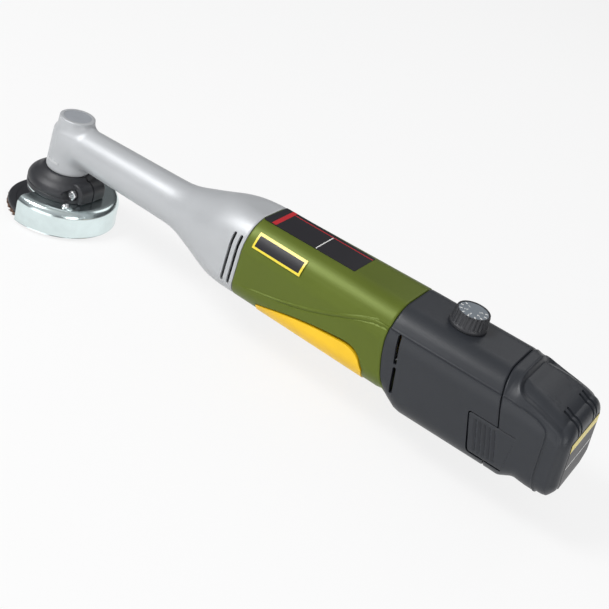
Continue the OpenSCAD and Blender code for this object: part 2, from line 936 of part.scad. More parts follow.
module cooling_fan() {
    color([0.12, 0.12, 0.13])
    difference() {
        union() {
            rod_x(fan_x, fan_x + 1.2, fan_r);
            rod_x(fan_x, fan_x + 6, 4);
            for (i = [0:8])
                translate([fan_x + 1, 0, neck_z])
                    rotate([i * 40, 0, 0])
                        translate([0, -0.5, 3]) cube([4.6, 1, fan_r - 3.3]);
        }
        rod_x(fan_x - 1, fan_x + 8, rotor_shaft_r);
    }
}

// Coupling between the motor shaft and the drive shaft
coupling_x0 = rear_bearing_x + small_bearing_w + 1;
coupling_x1 = coupling_x0 + 12;

module shaft_coupling() {
    color("goldenrod")
    difference() {
        rod_x(coupling_x0, coupling_x1, 4.6);
        rod_x(coupling_x0 - 1, rear_bearing_x + 12, shaft_d / 2);
        rod_x(rear_bearing_x + 11.9, coupling_x1 + 1, rotor_shaft_r);
    }
}

// Paddle switch: a curved cover under the handle, with a lip behind the shell's edge
module paddle() {
    color([0.93, 0.72, 0.1])
    difference() {
        union() {
            intersection() {
                difference() {
                    front_form(-0.4, 120, 190);
                    front_form(1.8, 119, 191);
                }
                across_y(-far, far) paddle_outline(0, 0);
            }
            intersection() {
                difference() {
                    front_form(1.7, 136.5, paddle_x - 1);
                    front_form(wall + 2, 119, 191);
                }
                across_y(-far, far) paddle_outline(-0.2, 0);
                translate([0, -far, 21.4]) cube([far, 2 * far, 20]);
            }
            intersection() {
                difference() {
                    front_form(wall + 0.75, 136.5, paddle_x - 1);
                    front_form(wall + 2, 119, 191);
                }
                across_y(-far, far) paddle_outline(2.6, 0);
                translate([0, -far, 21.4]) cube([far, 2 * far, 20]);
            }
            for (s = [-1, 1])
                intersection() {
                    front_form(1.2, 120, 190);
                    union() {
                        rod_y(s * 12.6 - 1.4, s * 12.6 + 1.4, 2.3, ear_x, ear_z);
                        translate([ear_x - 2.3, s * 12.6 - 1.4, 10]) cube([4.6, 2.8, ear_z - 10]);
                    }
                }
            translate([plunger_x, 0, front_z + 1]) cylinder(h = 4.4, r = 3);
            translate([spring_x, 0, front_z + 1]) cylinder(h = 2.6, r = 1.6);
        }
        rod_y(-far, far, pin_r + run, ear_x, ear_z);
    }
}

plunger_x = switch_x0 + 12;
spring_x = switch_x0 + 2.6;
spring_r = 2.6;

module paddle_pins() {
    color("silver")
    for (s = [-1, 1])
        rod_y(s * 13.8 - 2.4, s * 13.8 + 2.4, pin_r, ear_x, ear_z);
}

// Return spring, drawn as a plain sleeve that stands for the wound coil
module paddle_spring() {
    color("silver")
    ring_z_at(spring_x, front_z + 1.8, switch_z0 - paddle_travel - 0.1, spring_r, spring_r - 0.7);
}

module ring_z_at(x, z0, z1, r_out, r_in) {
    translate([x, 0, 0]) ring_z(z0, z1, r_out, r_in);
}

module switch_body() {
    color([0.1, 0.1, 0.1])
    difference() {
        translate([switch_x0, -switch_hw, switch_z0])
            cube([switch_x1 - switch_x0, 2 * switch_hw, switch_z1 - switch_z0]);
        translate([plunger_x, 0, switch_z0 - 1]) cylinder(h = 8, r = 2 + run);
    }
}

module switch_plunger() {
    color("red")
    union() {
        translate([plunger_x, 0, front_z + 5.4 + gap]) cylinder(h = 10, r = 2);
        translate([plunger_x, 0, front_z + 5.4 + gap]) cylinder(h = 1.4, r = 3);
    }
}

// Speed dial on top of the rear shells
dial_z = top_z + gap;
dial_shaft_r = 3;

module dial_knob() {
    color([0.1, 0.1, 0.11])
    difference() {
        translate([dial_x, 0, dial_z])
            rotate_extrude()
                polygon([[0, 0], [dial_base_r, 0], [dial_base_r, 1.2], [dial_base_r - 0.5, 1.6],
                    [dial_r + 0.1, dial_h - 0.5], [dial_r - 0.3, dial_h], [dial_r - 0.8, dial_h],
                    [dial_r - 0.8, dial_h - 0.5], [0, dial_h - 0.5]]);
        for (i = [0:19])
            translate([dial_x, 0, dial_z])
                rotate([0, 0, i * 18])
                    translate([dial_base_r + 0.25, 0, 1.7]) cylinder(h = far, r = 0.5);
        translate([dial_x, 0, dial_z - 1]) cylinder(h = 4.6, r = dial_shaft_r);
    }
}

module dial_face() {
    color([0.62, 0.65, 0.68])
    translate([dial_x, 0, dial_z + dial_h - 0.5]) cylinder(h = 0.4, r = dial_r - 0.8);
}

pot_z0 = top_z - 8.6;
pot_z1 = top_z - 3.2;

module dial_shaft() {
    color("silver")
    union() {
        translate([dial_x, 0, pot_z1 + 0.1]) cylinder(h = dial_z + 3.6 - pot_z1 - 0.1, r = dial_shaft_r);
        translate([dial_x, 0, pot_z0 + 1]) cylinder(h = pot_z1 - pot_z0, r = 1.5);
    }
}

module potentiometer() {
    color([0.15, 0.25, 0.4])
    difference() {
        union() {
            translate([dial_x - 5, -5, pot_z0]) cube([10, 10, pot_z1 - pot_z0]);
            intersection() {
                translate([dial_x - 5, -far, pot_z0]) cube([4, 2 * far, 1.4]);
                rear_form(wall + run, dial_x - 10, dial_x + 10);
            }
        }
        translate([dial_x, 0, pot_z0 + 0.8]) cylinder(h = 20, r = 1.5 + run);
    }
}

// Electronics and wiring
module control_board() {
    color([0.1, 0.35, 0.2])
    difference() {
        translate([switch_x0, -13, board_z]) cube([36, 26, board_t]);
        translate([switch_x0 + 26, -3, board_z - 1]) cube([20, 6, 4]);
    }
}

module power_transistor() {
    color([0.12, 0.12, 0.12])
    union() {
        translate([switch_x0 + 6, -5, board_z + board_t]) cube([10, 10, 4.4]);
        translate([switch_x0 + 6, -5, board_z + board_t]) cube([15, 10, 1.3]);
    }
}

lead_r = 0.9;
lead_z = board_z - 1.3;
lead_x = motor_end + 4.1;
battery_lead_x = switch_x0 + 30;

// A lead bent once: along X at one height, then upright between two heights
module bent_lead(x0, x1, z_run, x_up, z_end, y) {
    rod_x(x0, x1, lead_r, y, z_run);
    translate([x_up, y, z_run]) sphere(r = lead_r);
    translate([x_up, y, min(z_run, z_end)]) cylinder(h = abs(z_end - z_run), r = lead_r);
}

// Two leads from the brushes to the board and two from the board to the terminals
module motor_leads() {
    color("firebrick")
    for (s = [-1, 1]) {
        bent_lead(lead_x, switch_x0 + 3, lead_z, lead_x, neck_z + 2.45, s * 7.6);
        bent_lead(switch_x0 + 2.9, switch_x0 + 3, lead_z, switch_x0 + 3, board_z, s * 7.6);
        bent_lead(battery_lead_x, terminal_x0, terminal_z1 - 2.5, battery_lead_x, board_z, s * 6);
    }
}

module terminal_block() {
    color([0.13, 0.13, 0.14])
    difference() {
        translate([terminal_x0, -15, terminal_z0])
            cube([terminal_x1 - terminal_x0, 30, terminal_z1 - terminal_z0]);
        for (y = [-10, 0, 10])
            translate([terminal_x0 + 2, y - 2, terminal_z0 + 3])
                cube([12, 4, 8]);
    }
}

module terminal_blades() {
    color("goldenrod")
    for (y = [-10, 0, 10])
        translate([terminal_x0 + 2, y - 0.4, terminal_z0 + 4]) cube([10, 0.8, 6]);
}

// Battery: an outer case behind the seam, and a sleeve that slides into the handle
stem_x0 = 215.4;
cell_x0 = 217.6;
cell_r = cell_d / 2;
cell_z = pack_z + 2 + cell_r;

module battery_case() {
    color([0.22, 0.23, 0.25])
    difference() {
        intersection() {
            rear_form(0, pack_x - 8, end_x + 1);
            across_y(-far, far) behind_pack(gap);
        }
        intersection() {
            rear_form(1.8, pack_x, end_x - 1.6);
            translate([pack_x + 1.5, -far, 0]) cube([far, 2 * far, far]);
        }
        rear_form(wall + gap, pack_x - 9, pack_x + gap);
        rear_form(wall + 1.2, pack_x - 1, pack_x + 2);
        across_y(-far, far) latch_outline(gap);
    }
}

module battery_stem() {
    color([0.16, 0.16, 0.17])
    difference() {
        rear_form(wall + gap, stem_x0, pack_x + gap);
        rear_form(wall + gap + 0.9, stem_x0 + 1.2, pack_x + 1);
        for (y = [-10, 0, 10])
            translate([stem_x0 - 1, y - 1.5, terminal_z0 + 3]) cube([3, 3, 8]);
        across_y(-far, far)
            latch_outline(1);
    }
}

module battery_cells() {
    color([0.15, 0.35, 0.6])
    union() {
        for (s = [-1, 1])
            rod_x(cell_x0, cell_x0 + cell_l, cell_r, s * (cell_r + 0.1), cell_z);
        rod_x(cell_x0, cell_x0 + cell_l, cell_r, 0, cell_z + (cell_r + 0.1) * sqrt(3));
    }
}

module cell_strips() {
    color("silver")
    union() {
        translate([cell_x0 + cell_l, -12, cell_z - 3]) cube([0.2, 24, 6]);
        translate([cell_x0 + cell_l, -3, cell_z + 10]) cube([0.2, 6, 9]);
    }
}

module protection_board() {
    color([0.1, 0.35, 0.2])
    translate([cell_x0 + cell_l + 0.5, -14, cell_z - 7]) cube([1.4, 28, 26]);
}

module battery_contacts() {
    color("goldenrod")
    for (y = [-10, 0, 10])
        for (s = [-1, 1])
            translate([stem_x0 + 0.1, y + s * 1.1 - 0.4, terminal_z0 + 4]) cube([1.9, 0.8, 6]);
}

// Ribbed latch tongue, for the left or the right side
latch_t = 1.7;
latch_rim = 1.6;

// Side view of one groove between the ribs, parallel to the tongue's front edge
module latch_rib(x) {
    drop = latch_z1 - latch_z0 - 2 * latch_rim;
    polygon([[x, latch_z1 - latch_rim], [x + drop * seam_lean, latch_z0 + latch_rim],
        [x + drop * seam_lean + 1, latch_z0 + latch_rim], [x + 1, latch_z1 - latch_rim]]);
}

latch_ribs = 4;
latch_pitch = 2.1;

module latch(side) {
    color([0.2, 0.21, 0.23])
    mirror([0, side < 0 ? 1 : 0, 0])
        difference() {
            intersection() {
                across_y(rear_hw - latch_t, rear_hw) latch_outline(0);
                rear_form(0.1, latch_x0 - 1, latch_x1 + 1);
            }
            for (i = [0:latch_ribs])
                across_y(rear_hw - 0.7, rear_hw + 1)
                    latch_rib(latch_x0 + 2.4 + i * latch_pitch);
        }
}

module latch_left() {
    latch(-1);
}

module latch_right() {
    latch(1);
}

// Plain plates and stickers with no words
label_hw = 7.5;
label_l = 46.5;

module top_label() {
    color([0.1, 0.1, 0.11])
    translate([seam_x + 0.7, -label_hw, top_z]) cube([label_l, 2 * label_hw, 0.15]);
}

badge_x = seam_x + 4.1;
badge_l = 25;
badge_w = 6;
badge_z = neck_z + 11.4;
badge_y = 10;

module side_badges() {
    color([0.9, 0.8, 0.3])
    for (s = [-1, 1])
        intersection() {
            difference() {
                front_form(-gap, badge_x, badge_x + badge_l);
                front_form(0, badge_x - 1, badge_x + badge_l + 1);
            }
            translate([badge_x - 1, s > 0 ? badge_y : -far, badge_z])
                cube([badge_l + 2, far - badge_y, badge_w]);
        }
}

module battery_label() {
    color([0.2, 0.2, 0.2])
    intersection() {
        difference() {
            rear_form(-0.2, end_x - 4, end_x + 1);
            rear_form(0, end_x - 5, end_x + 2);
        }
        translate([end_x - 3.5, -16, pack_z + 4]) cube([10, 32, 20]);
    }
}

gear_housing();
head_cap();
upper_bearing();
lower_bearing();
bearing_retainer();
front_shaft_bearing();
rear_shaft_bearing();
spindle();
spindle_gear();
inner_flange();
disc_backing();
disc_flaps();
outer_flange();
disc_screw();
pinion();
drive_shaft();
shaft_coupling();
guard();
guard_clamp();
clamp_screw();
clamp_nut();
guard_screws();
housing_left();
housing_right();
rear_housing_left();
rear_housing_right();
housing_screws();
motor_can();
motor_magnets();
motor_end_cap();
rotor();
commutator();
motor_brushes();
cooling_fan();
paddle();
paddle_pins();
paddle_spring();
switch_body();
switch_plunger();
dial_knob();
dial_face();
dial_shaft();
potentiometer();
control_board();
power_transistor();
motor_leads();
terminal_block();
terminal_blades();
battery_case();
battery_stem();
battery_cells();
cell_strips();
protection_board();
battery_contacts();
latch_left();
latch_right();
top_label();
side_badges();
battery_label();
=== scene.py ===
"""Looks of the cordless long-neck grinder. Lengths are in millimetres until a mesh is made."""

import json
import math
import random

import bmesh
import bpy
import numpy as np
from mathutils import Matrix, Vector


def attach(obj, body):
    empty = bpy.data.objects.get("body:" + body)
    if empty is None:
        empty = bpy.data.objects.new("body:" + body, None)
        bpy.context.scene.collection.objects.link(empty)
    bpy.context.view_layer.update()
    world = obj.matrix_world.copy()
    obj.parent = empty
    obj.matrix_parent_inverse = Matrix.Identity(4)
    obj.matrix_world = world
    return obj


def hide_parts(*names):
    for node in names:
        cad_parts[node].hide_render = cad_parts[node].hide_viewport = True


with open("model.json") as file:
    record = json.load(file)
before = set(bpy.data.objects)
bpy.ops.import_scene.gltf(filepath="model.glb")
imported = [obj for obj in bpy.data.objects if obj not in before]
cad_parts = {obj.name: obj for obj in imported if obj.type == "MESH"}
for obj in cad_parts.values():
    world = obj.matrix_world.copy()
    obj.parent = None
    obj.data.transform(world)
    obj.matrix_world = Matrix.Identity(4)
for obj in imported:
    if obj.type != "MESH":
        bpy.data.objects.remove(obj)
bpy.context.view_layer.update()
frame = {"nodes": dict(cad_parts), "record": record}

MM = 0.001
rng = random.Random(7)
scene = bpy.context.scene

# Sizes shared with the source
NECK_Z = 34.0
SEAM_X = 112.8
MID_X = 186.4
PACK_X = 241.6
END_X = 270.9
TOP_Z = 54.8
FRONT_Z = 17.0
REAR_Z = 11.9
PACK_Z = 15.3
REAR_HALF = 22.1
TOP_R = 14.5
LOW_R = 9.8
WALL = 2.0
BOSS_Z = 46.3
GUARD_TOP = 9.4
DIAL_X = 209.5
DIAL_Z = 55.1

# Reach of the solids that cut, and the radius that stands for the axis of a turned solid
FAR = 60.0
AXIS_R = 0.02


# Materials; edges where Blender's pointiness lies in this range are painted in a lighter shade,
# partly as wear and partly as a painted highlight on edges and ridge beads
EDGE_FROM = 0.53
EDGE_TO = 0.62
EDGE_SHADE = 2.0


def node_tree(name):
    """A new material with its principled shader, ready for more nodes."""
    mat = bpy.data.materials.new(name)
    mat.use_nodes = True
    tree = mat.node_tree
    return mat, tree, tree.nodes["Principled BSDF"]


def noise(tree, scale, detail, roughness, stretch=None):
    """Noise over object coordinates; scale counts features per metre."""
    coords = tree.nodes.new("ShaderNodeTexCoord")
    tex = tree.nodes.new("ShaderNodeTexNoise")
    tex.inputs["Scale"].default_value = scale
    tex.inputs["Detail"].default_value = detail
    tex.inputs["Roughness"].default_value = roughness
    source = coords.outputs["Object"]
    if stretch:
        mapping = tree.nodes.new("ShaderNodeMapping")
        mapping.inputs["Scale"].default_value = stretch
        tree.links.new(source, mapping.inputs["Vector"])
        source = mapping.outputs["Vector"]
    tree.links.new(source, tex.inputs["Vector"])
    return tex.outputs["Fac"]


def ramp(tree, source, stops):
    """Colour ramp whose stops are (position, colour) pairs."""
    node = tree.nodes.new("ShaderNodeValToRGB")
    elements = node.color_ramp.elements
    while len(elements) < len(stops):
        elements.new(0.5)
    for element, (place, colour) in zip(elements, stops):
        element.position = place
        element.color = (*colour, 1.0)
    tree.links.new(source, node.inputs["Fac"])
    return node.outputs["Color"]


def span(tree, source, low, high, start=0.0, end=1.0):
    """Maps a value between start and end to the range from low to high."""
    node = tree.nodes.new("ShaderNodeMapRange")
    limits = {"From Min": start, "From Max": end, "To Min": low, "To Max": high}
    for socket, value in limits.items():
        node.inputs[socket].default_value = value
    tree.links.new(source, node.inputs["Value"])
    return node.outputs["Result"]


def bump(tree, shader, source, distance):
    """Bump from a factor; the distance is in metres."""
    node = tree.nodes.new("ShaderNodeBump")
    node.inputs["Distance"].default_value = distance
    node.inputs["Strength"].default_value = 1.0
    tree.links.new(source, node.inputs["Height"])
    tree.links.new(node.outputs["Normal"], shader.inputs["Normal"])


def shade(colour, factor):
    """The colour made darker or lighter."""
    return tuple(min(1.0, c * factor) for c in colour)


def finish(name, colour, rough, metal=0.0, grain=2600.0, grain_depth=0.00002, mottle=0.08,
           mottle_scale=70.0, rough_spread=0.06, stretch=None, specular=0.5, edge_wear_and_highlight=0.0,
           tint=(1.0, 1.0, 1.0)):
    """A surface with fine grain, slow colour change and uneven gloss."""
    mat, tree, shader = node_tree(name)
    slow = noise(tree, mottle_scale, 4.0, 0.6, stretch)
    base = ramp(tree, slow, [(0.3, shade(colour, 1 - mottle)), (0.7, shade(colour, 1 + mottle))])
    # Lighter edges: partly wear, partly a painted highlight on edges and ridge beads
    if edge_wear_and_highlight:
        geometry = tree.nodes.new("ShaderNodeNewGeometry")
        edge = span(tree, geometry.outputs["Pointiness"], 0.0, edge_wear_and_highlight, EDGE_FROM, EDGE_TO)
        mix = tree.nodes.new("ShaderNodeMix")
        mix.data_type = "RGBA"
        tree.links.new(edge, mix.inputs["Factor"])
        tree.links.new(base, mix.inputs["A"])
        mix.inputs["B"].default_value = (*shade(colour, EDGE_SHADE), 1.0)
        base = mix.outputs["Result"]
    tree.links.new(base, shader.inputs["Base Color"])
    fine = noise(tree, grain, 2.0, 0.5, stretch)
    tree.links.new(span(tree, slow, rough - rough_spread, rough + rough_spread),
                   shader.inputs["Roughness"])
    shader.inputs["Metallic"].default_value = metal
    shader.inputs["Specular IOR Level"].default_value = specular
    shader.inputs["Specular Tint"].default_value = (*tint, 1.0)
    bump(tree, shader, fine, grain_depth)
    return mat


def cloth_finish(name, colour):
    """Abrasive cloth with coarse grit in three shades."""
    mat, tree, shader = node_tree(name)
    grit = noise(tree, 2400.0, 6.0, 0.8)
    dark, light = shade(colour, 0.45), shade(colour, 1.7)
    base = ramp(tree, grit, [(0.32, dark), (0.5, colour), (0.68, light)])
    tree.links.new(base, shader.inputs["Base Color"])
    tree.links.new(span(tree, grit, 0.75, 0.95), shader.inputs["Roughness"])
    bump(tree, shader, grit, 0.0002)
    return mat


CAST = finish("cast_silver", (0.50, 0.515, 0.53), 0.45, metal=0.25, grain=3800.0,
              grain_depth=0.000010, mottle=0.03, mottle_scale=45.0, edge_wear_and_highlight=0.2)
CAP = finish("cap_grey", (0.40, 0.42, 0.45), 0.45, metal=0.3, grain_depth=0.00001)
STEEL = finish("ground_steel", (0.60, 0.61, 0.63), 0.26, metal=1.0, grain=900.0,
               grain_depth=0.000006, stretch=(1.0, 1.0, 14.0))
GEAR = finish("gear_steel", (0.25, 0.26, 0.28), 0.38, metal=1.0, grain_depth=0.00001)
ZINC = finish("guard_zinc", (0.72, 0.82, 0.82), 0.2, metal=1.0, grain=420.0,
              grain_depth=0.000004, mottle=0.10, mottle_scale=55.0, rough_spread=0.05)
BRIGHT = finish("bright_screw", (0.85, 0.86, 0.87), 0.16, metal=1.0, grain=900.0,
                grain_depth=0.000004)
BLACK = finish("black_plastic", (0.026, 0.027, 0.031), 0.46, grain=2400.0,
               grain_depth=0.00003, mottle=0.22, edge_wear_and_highlight=0.5)
FLAPS = cloth_finish("abrasive_cloth", (0.20, 0.125, 0.09))
GREEN = finish("green_plastic", (0.088, 0.116, 0.013), 0.42, specular=0.65, grain=5200.0,
               grain_depth=0.000010, mottle=0.05, mottle_scale=30.0, edge_wear_and_highlight=0.3,
               tint=(0.82, 1.0, 0.40))
CHARCOAL = finish("charcoal_plastic", (0.026, 0.029, 0.035), 0.40, specular=0.4, grain=5200.0,
                  grain_depth=0.000012, mottle=0.09, mottle_scale=24.0, edge_wear_and_highlight=0.6)
YELLOW = finish("yellow_plastic", (0.95, 0.58, 0.012), 0.40, grain=4200.0,
                grain_depth=0.000008, mottle=0.03)
BADGE = finish("badge_yellow", (0.85, 0.68, 0.06), 0.30, grain_depth=0.000002, mottle=0.02)
CAN = finish("can_steel", (0.42, 0.43, 0.45), 0.34, metal=0.9, grain_depth=0.000008)
MAGNET = finish("magnet", (0.10, 0.10, 0.11), 0.6, grain_depth=0.00002)
COPPER = finish("copper", (0.72, 0.40, 0.18), 0.30, metal=1.0, grain=700.0,
                grain_depth=0.00001, stretch=(12.0, 1.0, 1.0))
CARBON = finish("carbon", (0.02, 0.02, 0.02), 0.7)
RED = finish("red_plastic", (0.52, 0.03, 0.03), 0.42)
DIAL_GREY = finish("dial_grey", (0.16, 0.185, 0.21), 0.42, grain_depth=0.000006, mottle=0.05)
BOARD = finish("board_green", (0.03, 0.16, 0.07), 0.38, mottle=0.12, mottle_scale=260.0)
BLUE = finish("blue_sleeve", (0.05, 0.12, 0.32), 0.30, mottle=0.05)
NICKEL = finish("nickel", (0.66, 0.65, 0.62), 0.25, metal=1.0)
FILM = finish("label_film", (0.020, 0.019, 0.023), 0.42, specular=0.3,
              grain_depth=0.000002, mottle=0.04)
FILM_RED = finish("label_red", (0.50, 0.022, 0.03), 0.32, grain_depth=0.000002, mottle=0.03)
PRINT_WHITE = finish("print_white", (0.80, 0.80, 0.78), 0.45, grain_depth=0.000002,
                     mottle=0.03)

SLOT_LOOKS = {
    "cast_silver": CAST, "cap_grey": CAP, "steel": STEEL, "gear_steel": GEAR,
    "guard_zinc": ZINC, "bright_screw": BRIGHT, "black_plastic": BLACK, "abrasive": FLAPS,
    "green_plastic": GREEN, "charcoal_plastic": CHARCOAL, "yellow_plastic": YELLOW,
    "can_steel": CAN, "magnet": MAGNET, "copper": COPPER, "carbon": CARBON,
    "red_plastic": RED, "dial_grey": DIAL_GREY, "board_green": BOARD, "blue_plastic": BLUE,
    "nickel": NICKEL, "label_black": FILM,
}

slot_of = {entry["node"]: entry["material_slot"] for entry in frame["record"]["subparts"]}
for node_name, node_object in frame["nodes"].items():
    node_object.data.materials.clear()
    node_object.data.materials.append(SLOT_LOOKS[slot_of[node_name]])


# Mesh helpers
def make_piece(name, points, faces, look, body=None, sharp=38.0):
    """A mesh object from points in millimetres, shaded smooth between its sharp edges."""
    mesh = bpy.data.meshes.new(name)
    mesh.from_pydata([tuple(c * MM for c in p) for p in points], [], faces)
    mesh.validate()
    obj = bpy.data.objects.new(name, mesh)
    scene.collection.objects.link(obj)
    if look:
        mesh.materials.append(look)
    tidy_mesh(obj, sharp)
    if body:
        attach(obj, body)
    return obj


def tidy_mesh(obj, sharp):
    """Outward normals and smooth shading with sharp edges above an angle."""
    bm = bmesh.new()
    bm.from_mesh(obj.data)
    bmesh.ops.remove_doubles(bm, verts=bm.verts, dist=0.000001)
    bmesh.ops.recalc_face_normals(bm, faces=bm.faces)
    bm.to_mesh(obj.data)
    bm.free()
    smooth_shading(obj, sharp)


def smooth_shading(obj, sharp):
    """Smooth shading, but for edges sharper than an angle in degrees."""
    obj.data.polygons.foreach_set("use_smooth", [True] * len(obj.data.polygons))
    obj.data.set_sharp_from_angle(angle=math.radians(sharp))


def combine(obj, cutters, operation="DIFFERENCE", sharp=38.0):
    """Cuts the given solids out of a piece, or joins them to it, and removes them."""
    for cutter in cutters:
        mod = obj.modifiers.new("cut", "BOOLEAN")
        mod.operation = operation
        mod.object = cutter
        mod.solver = "MANIFOLD"
    graph = bpy.context.evaluated_depsgraph_get()
    result = bpy.data.meshes.new_from_object(obj.evaluated_get(graph))
    obj.modifiers.clear()
    obj.data = result
    for cutter in cutters:
        bpy.data.objects.remove(cutter)
    smooth_shading(obj, sharp)


def bevel_edges(obj, width, segments, angle):
    """Rounds the edges sharper than an angle in degrees; the width is in millimetres."""
    mod = obj.modifiers.new("edge", "BEVEL")
    mod.width = width * MM
    mod.segments = segments
    mod.limit_method = "ANGLE"
    mod.angle_limit = math.radians(angle)


def grid_faces(rows, columns, closed_columns=True, closed_rows=False, start=0):
    """Quads of a grid of points stored row by row."""
    faces = []
    last_row = rows if closed_rows else rows - 1
    last_column = columns if closed_columns else columns - 1
    for i in range(last_row):
        for j in range(last_column):
            a = start + i * columns + j
            b = start + i * columns + (j + 1) % columns
            c = start + ((i + 1) % rows) * columns + (j + 1) % columns
            d = start + ((i + 1) % rows) * columns + j
            faces.append((a, b, c, d))
    return faces


def loft_faces(rows, columns):
    """Faces of a closed solid from stacked rings: its side and its two end rings."""
    faces = grid_faces(rows, columns)
    faces.append(tuple(range(columns)))
    faces.append(tuple(range((rows - 1) * columns, rows * columns)))
    return faces


def plate_faces(rows, columns, start=0):
    """Faces of a thin closed plate: two grids of points, one after the other, and their edge."""
    wide = columns + 1
    layer = (rows + 1) * wide
    faces = []
    for first in (start, start + layer):
        faces += grid_faces(rows + 1, wide, closed_columns=False, start=first)
    edge = [start + i * wide for i in range(rows + 1)]
    edge += [start + rows * wide + j for j in range(1, wide)]
    edge += [start + i * wide + columns for i in range(rows - 1, -1, -1)]
    edge += [start + j for j in range(columns - 1, 0, -1)]
    for p, q in zip(edge, edge[1:] + edge[:1]):
        faces.append((p, q, layer + q, layer + p))
    return faces


def turned_points(profile, turns):
    """Points of a profile of (radius, height) at each turn in degrees about the Z axis."""
    points = []
    for turn in turns:
        a = math.radians(turn)
        points += [(radius * math.cos(a), radius * math.sin(a), height)
                   for radius, height in profile]
    return points


def full_turn(steps):
    """Even turns round a circle, in degrees."""
    return [360.0 * i / steps for i in range(steps)]


def turned_faces(steps, size):
    """Faces of a turned solid whose profile starts and ends at the axis."""
    faces = grid_faces(steps, size, closed_columns=False, closed_rows=True)
    faces.append(tuple(i * size for i in range(steps)))
    faces.append(tuple(i * size + size - 1 for i in range(steps)))
    return faces


def turned_solid(profile, steps):
    """Points and faces of a solid whose profile starts and ends at the axis."""
    return turned_points(profile, full_turn(steps)), turned_faces(steps, len(profile))


def turned_ring(profile, steps):
    """Points and faces of a closed profile turned all the way round."""
    faces = grid_faces(steps, len(profile), closed_rows=True)
    return turned_points(profile, full_turn(steps)), faces


def turned_sector(profile, steps, start, end):
    """Points and faces of a closed profile turned from one angle to another."""
    turns = [start + (end - start) * i / steps for i in range(steps + 1)]
    return turned_points(profile, turns), loft_faces(steps + 1, len(profile))


def add_corner(path, before, here, after, reach, steps):
    """Adds a corner to a path of 2D points, rounded by an arc that starts a reach away."""
    before, here, after = Vector(before), Vector(here), Vector(after)
    reach = min(reach, (before - here).length * 0.49, (after - here).length * 0.49)
    if reach < 0.01:
        path.append(tuple(here))
        return
    a = here + (before - here).normalized() * reach
    b = here + (after - here).normalized() * reach
    for i in range(steps + 1):
        t = i / steps
        path.append(tuple(a * (1 - t) ** 2 + here * 2 * t * (1 - t) + b * t * t))


def smooth_path(corners, radii, steps):
    """An open path of 2D points whose corners are rounded by the given radii."""
    path = [corners[0]]
    for k in range(1, len(corners) - 1):
        add_corner(path, *corners[k - 1:k + 2], radii[k], steps)
    path.append(corners[-1])
    return path


def rounded_outline(corners, radii):
    """A closed outline of 2D points whose corners are rounded by the given radii."""
    path = []
    for k, corner in enumerate(corners):
        add_corner(path, corners[k - 1], corner, corners[(k + 1) % len(corners)], radii[k], 6)
    return path


def prism_faces(size, start=0):
    """Faces of a solid between two outlines whose points follow each other."""
    low, high = start, start + size
    faces = [tuple(range(low, low + size)), tuple(range(high, high + size))]
    for i in range(size):
        j = (i + 1) % size
        faces.append((low + i, low + j, high + j, high + i))
    return faces


def prism(name, outline, place, low, high, look=None, body=None):
    """A solid between two heights; place turns (u, v, height) into a point."""
    points = [place(u, v, low) for u, v in outline] + [place(u, v, high) for u, v in outline]
    return make_piece(name, points, prism_faces(len(outline)), look, body, sharp=30.0)


def side_prism(name, outline, y0, y1):
    """A solid whose outline is drawn in X and Z, between two Y values."""
    return prism(name, outline, lambda u, v, h: (u, h, v), y0, y1)


def side_cuts(name, outline, near):
    """Two solids that cut both sides from a distance outwards."""
    return [side_prism(name, outline, -FAR, -near), side_prism(name, outline, near, FAR)]


def flat_prism(name, outline, z0, z1, look=None, body=None):
    """A solid whose outline is drawn in X and Y, between two Z values."""
    return prism(name, outline, lambda u, v, h: (u, v, h), z0, z1, look, body)


def circle(x, y, radius, steps=40):
    """Outline of a circle."""
    return [(x + radius * math.cos(2 * math.pi * i / steps),
             y + radius * math.sin(2 * math.pi * i / steps)) for i in range(steps)]


def box(x0, y0, x1, y1):
    """Outline of a rectangle."""
    return [(x0, y0), (x1, y0), (x1, y1), (x0, y1)]


def slot_outline(x0, y0, x1, y1, radius):
    """Outline of a straight slot with round ends."""
    turn = math.atan2(y1 - y0, x1 - x0)
    steps = 10
    outline = []
    for x, y, first in ((x0, y0, math.pi / 2), (x1, y1, -math.pi / 2)):
        for i in range(steps + 1):
            a = turn + first + math.pi * i / steps
            outline.append((x + radius * math.cos(a), y + radius * math.sin(a)))
    return outline


# Handle form
HALF_WIDTH = ([52.8, SEAM_X, 190.4, 240.5, 300.0], [17.5, 19.4, 21.9, REAR_HALF, REAR_HALF])
UNDERSIDE = ([0.0, 189.4, 192.0, 199.5, 202.4, 300.0],
             [FRONT_Z, FRONT_Z, FRONT_Z + 0.5, REAR_Z + 0.7, REAR_Z, REAR_Z])

# Seams: the curved one in the handle, the leaning one before the battery, and their gaps
SEAM_CURVE_Z = 48.0
SEAM_CURVE_R = 60.0
SEAM_LEAN = 0.34
SEAM_BEND_Z = 35.0
SEAM_GAP = 0.12
REAR_GAP = 0.05
PACK_GAP = 0.35

# Points on the parts of a ring; the last two counts are for the whole width
CORNER_STEPS = 60
SIDE_STEPS = 54
TOP_STEPS = 22
LOW_STEPS = 26


